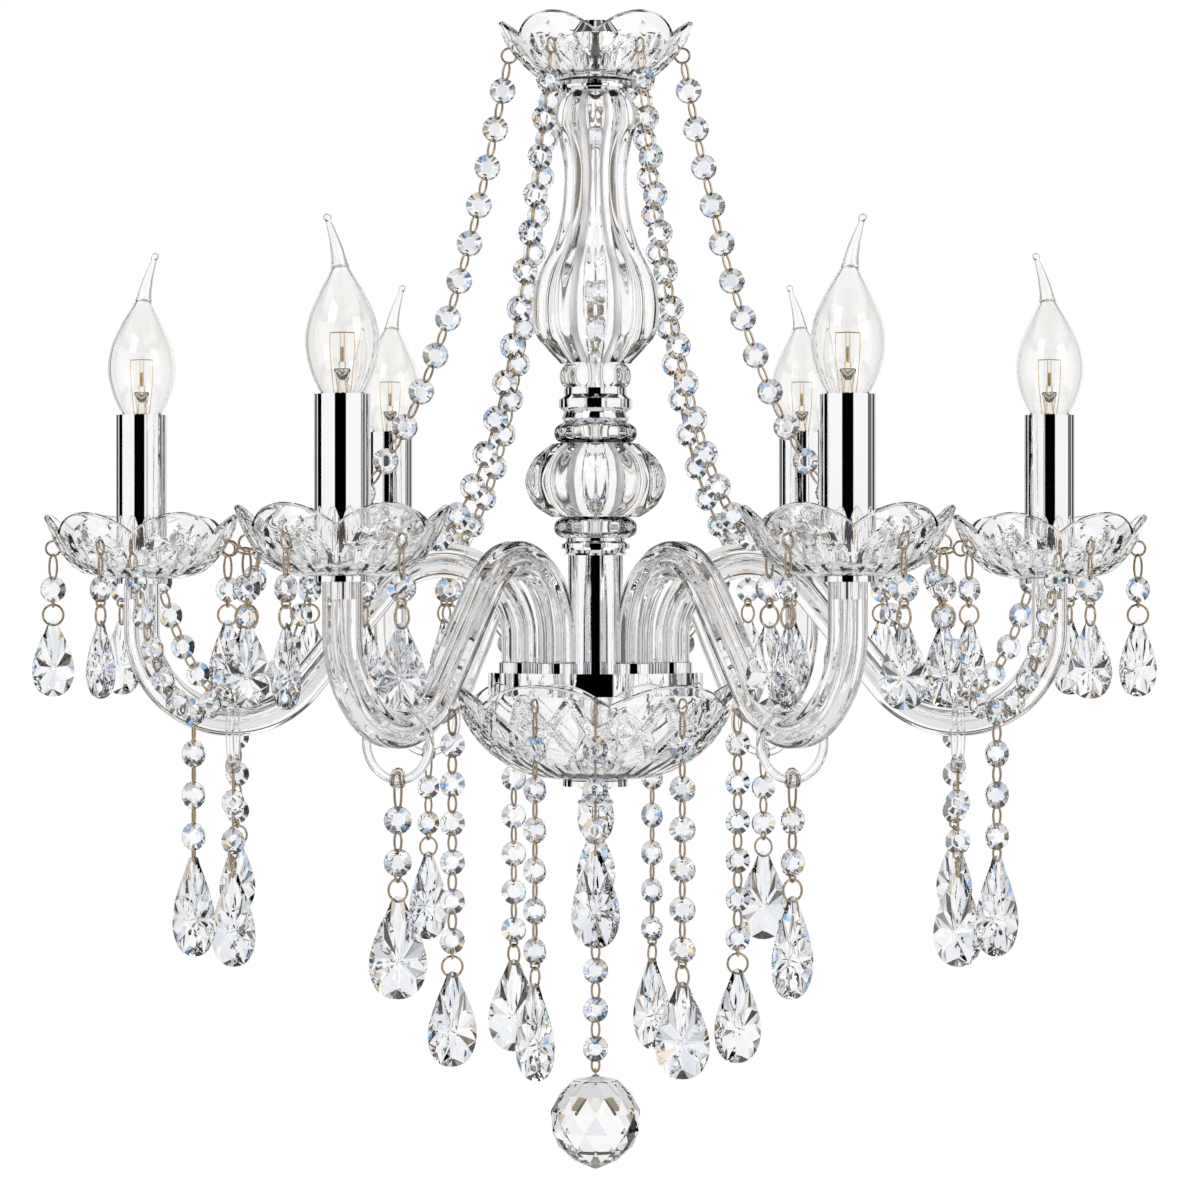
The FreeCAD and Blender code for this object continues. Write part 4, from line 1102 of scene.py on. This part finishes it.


# %% [markdown]
# ## Hanging the strings
#
# Each string node becomes two pieces, its crystal and its wire, and both ride on the body that carries
# the string. The painted shade and painted glints of the facets are drawn by lot from a fixed seed, so
# they are the same every time.

# %% Crystal and wire in place of each string
PAINTED_GLINT_SHARE = 0.1
PAINTED_DARK_FACETS_AND_GLINTS_SHARE = 0.07
PAINTED_GREY_SHADE_SHARE = 0.4
# Areas in square metres: painted glints keep to facets below the first, painted dark facets and dark glints
# to facets below the second.
LARGE_FACET = 14e-6
TABLE_AREA = 22e-6


def paint_facet_glints_and_shade(piece):
    """Paints grey shade on some facets, and bluish or amber glints or darker shade on a few, as painted light
    for cut crystal that splits the light.
    """
    mesh = piece.data
    layer = mesh.color_attributes.new("tint", "FLOAT_COLOR", "CORNER")
    for face in mesh.polygons:
        lot = DICE.random()
        small = face.area < LARGE_FACET
        if lot < PAINTED_GLINT_SHARE and small:
            colour = DICE.choice(PAINTED_GLINTS)
        elif lot < PAINTED_DARK_FACETS_AND_GLINTS_SHARE and face.area < TABLE_AREA:
            colour = DICE.choice(PAINTED_DARK_FACETS_AND_GLINTS)
        elif lot < PAINTED_GREY_SHADE_SHARE:
            colour = DICE.choice(PAINTED_GREY_SHADE) if small else PAINTED_GREY_SHADE[1]
        else:
            colour = (1, 1, 1)
        for corner in face.loop_indices:
            layer.data[corner].color = (*colour, 1)


def hang(node, body, extra_stones=(), extra_wires=(), skip=lambda one: False):
    """Builds the crystal and the wire of one string, without the islands that skip picks out."""
    stones, wires = dress([one for one in islands(node) if not skip(one)])
    cut = join(stones + list(extra_stones))
    paint_facet_glints_and_shade(add_piece(f"{node}_crystal", cut, CRYSTAL, body, [node], 0))
    add_piece(f"{node}_wire", join(wires + list(extra_wires)), GOLD_WIRE, body, [], 60)
    print(f"{node}: {len(stones)} stones, {len(wires)} wires")


for node in ("garlands", "swags", "cup_pendants", "bowl_pendants"):
    hang(node, ROOT)
for k in range(ARMS):
    hang(f"ring_drop_{k + 1}", f"ring_drop_{k + 1}")

# %% The faceted ball
BALL_RADIUS = 23.7 * MM
BALL_SIDES = 12
BALL_LATITUDES = (62, 36, 12, -12, -36, -62)
BALL_POINT = 1.08
BALL_TOP = 0.985
EYE_RADIUS = 1.6 * MM


def ball_shape(centre):
    """A ball of triangular facets between rows of points that are half a step apart."""
    points = []
    for row, latitude in enumerate(BALL_LATITUDES):
        reach = cos(radians(latitude))
        rise = UP * sin(radians(latitude))
        for i in range(BALL_SIDES):
            turn = 2 * pi * (i + row % 2 / 2) / BALL_SIDES
            points.append(centre + (spread(turn) * reach + rise) * BALL_RADIUS)
    points += [centre + UP * BALL_RADIUS * BALL_TOP, centre - UP * BALL_RADIUS * BALL_POINT]
    faces = []
    for row in range(len(BALL_LATITUDES) - 1):
        for i in range(BALL_SIDES):
            after = (i + 1) % BALL_SIDES
            a, b = row * BALL_SIDES + i, row * BALL_SIDES + after
            c, d = a + BALL_SIDES, b + BALL_SIDES
            faces += [(a, b, c), (b, d, c)] if row % 2 == 0 else [(a, b, d), (a, d, c)]
    last = (len(BALL_LATITUDES) - 1) * BALL_SIDES
    for i in range(BALL_SIDES):
        after = (i + 1) % BALL_SIDES
        faces.append((i, after, len(points) - 2))
        faces.append((last + i, last + after, len(points) - 1))
    return points, faces


drop_low, drop_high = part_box("ball_drop")
ball_centre = UP * (drop_low.z + BALL_POINT * BALL_RADIUS)
eye = torus(ball_centre + UP * (BALL_RADIUS * 0.966 + 2.2 * MM), EYE_RADIUS, 0.5 * MM, ACROSS, UP, 24, 8)
foot = turned(millimetres([(0, 0), (2.2, 0), (1.6, 0.9), (0, 1.1)]), 20)
foot = placed(foot, ball_centre + UP * BALL_RADIUS * 0.955)


def is_ball_or_eye(one):
    """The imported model's own ball and its eye, which are built anew here."""
    return one.middle[2] < ball_centre.z + BALL_RADIUS + 4 * MM


hang("ball_drop", "ball_drop", [ball_shape(ball_centre)], [eye, foot], is_ball_or_eye)

# %% [markdown]
# ## Studio
#
# The background is plain white, and glass and chrome must see it too. Where they look to the side they
# meet a few dark strips, as a photographer sets black cards beside a glass to give it its outlines.

# %% World: white behind, narrow dark strips to the sides
# Dark strips: azimuth of the middle, half width, depth of the dark. The object looks at the camera at -90.
METAL_STRIPS = [
    (-94, 23, 1.0), (7, 12, 0.85), (33, 9, 0.95), (48, 3, 0.7), (120, 5, 1.0), (139, 9, 1.0), (168, 13, 1.0),
]
GLASS_STRIPS = [
    (-90, 14, 1.0), (-62, 4, 0.8), (-118, 4, 0.8), (-12, 9, 1.0), (-168, 9, 1.0), (12, 4, 0.8), (168, 4, 0.8),
    (30, 6, 1.0), (150, 6, 1.0), (50, 8, 1.0), (130, 8, 1.0),
]
# Glass splits the light a little, so the edges of the dark strips look warm through it.
FRINGE = (1.0, 0.72, 0.45, 1)
# Dark bands: height of the middle in degrees, half width, depth of the dark.
BANDS = [(31, 6, 0.95), (-28, 6, 0.95), (-48, 6, 0.8), (58, 8, 0.7), (-80, 12, 0.9)]


def make_world():
    world = bpy.data.worlds.new("studio")
    bpy.context.scene.world = world
    world.use_nodes = True
    tree = Field(world.node_tree)
    background = world.node_tree.nodes["Background"]
    camera_ray, glossy_ray, glass_ray = (
        tree.make("ShaderNodeLightPath", output=name)
        for name in ("Is Camera Ray", "Is Glossy Ray", "Is Transmission Ray"))
    direction = tree.make("ShaderNodeTexCoord", output=0)
    x, y, z = (tree.make("ShaderNodeSeparateXYZ", None, {"Vector": direction}, output=i) for i in range(3))
    azimuth = tree.maths("ARCTAN2", y, x) * (180 / pi)
    elevation = tree.maths("ARCSINE", z) * (180 / pi)

    def darkness(angle, places, start=0.0):
        """The deepest of the strips that lie round an angle, as a share of black."""
        dark = start
        for middle, half, depth in places:
            away = tree.maths("ABSOLUTE", angle - middle)
            dark = tree.maths("MAXIMUM", (1 - away.above(half, 1.4)) * depth, dark)
        return dark

    bands = darkness(elevation, BANDS)
    metal_view = glossy_ray * (1 - darkness(azimuth, METAL_STRIPS, bands))
    glass_dark = darkness(azimuth, GLASS_STRIPS, bands)
    glass_view = glass_ray * (1 - glass_dark)
    fringe = glass_dark * (1 - glass_dark) * 3.0 * glass_ray
    shown = tree.maths("MAXIMUM", glossy_ray, glass_ray)
    plain = tree.maths("MAXIMUM", camera_ray, 0.9 * (1 - shown))
    bright = tree.maths("MAXIMUM", plain, tree.maths("MAXIMUM", metal_view, glass_view))
    tree.plug(bright, background.inputs["Strength"])
    tree.plug(fringe.mix_colours(WHITE, FRINGE), background.inputs["Color"])


make_world()
CAMERA_LEVEL = -0.3006     # metres, the height of the arms


def add_lamp(name, place, size, energy):
    """A square area lamp that looks at the middle of the chandelier."""
    data = bpy.data.lights.new(name, "AREA")
    data.size = size
    data.energy = energy
    light = add_object(name, data)
    light.location = place
    aim = UP * CAMERA_LEVEL - Vector(place)
    light.rotation_euler = aim.to_track_quat("-Z", "Y").to_euler()


add_lamp("key_light", (-0.9, -1.3, 0.9), 0.8, 6)
add_lamp("fill_light", (1.1, -1.0, 0.3), 0.8, 4)

# %% Floor
FLOOR_LEVEL = -2.4
FLOOR_REACH = 4
FLOOR_PAINT = matt("floor_paint", (0.86, 0.86, 0.86), (0.85, 0.85, 0.85), 0.8, 3.0)
corners = [(x * FLOOR_REACH, y * FLOOR_REACH, FLOOR_LEVEL) for x, y in ((-1, -1), (1, -1), (1, 1), (-1, 1))]
floor_mesh = bpy.data.meshes.new("studio_floor")
floor_mesh.from_pydata(corners, [], [(0, 1, 2, 3)])
floor_mesh.materials.append(FLOOR_PAINT)
floor_object = add_object("studio_floor", floor_mesh)

# %% [markdown]
# ## Camera
#
# The photograph was taken level, from in front, with a long lens. The camera stands two metres away at
# the height of the arms.

# %% The photograph's view
SENSOR = 36.0        # millimetres
FIELD_WIDTH = 0.624  # metres in the picture's width, at the column
DISTANCE = 2.0
CAMERA_SIDE = 0.0023
camera_data = bpy.data.cameras.new("product_camera")
camera_data.sensor_width = SENSOR
camera_data.lens = SENSOR * DISTANCE / FIELD_WIDTH
camera = add_object("product_camera", camera_data)
camera.location = (CAMERA_SIDE, -DISTANCE, CAMERA_LEVEL)
camera.rotation_euler = (radians(90), 0, 0)
bpy.context.scene.camera = camera
bpy.context.scene.view_settings.view_transform = "Standard"
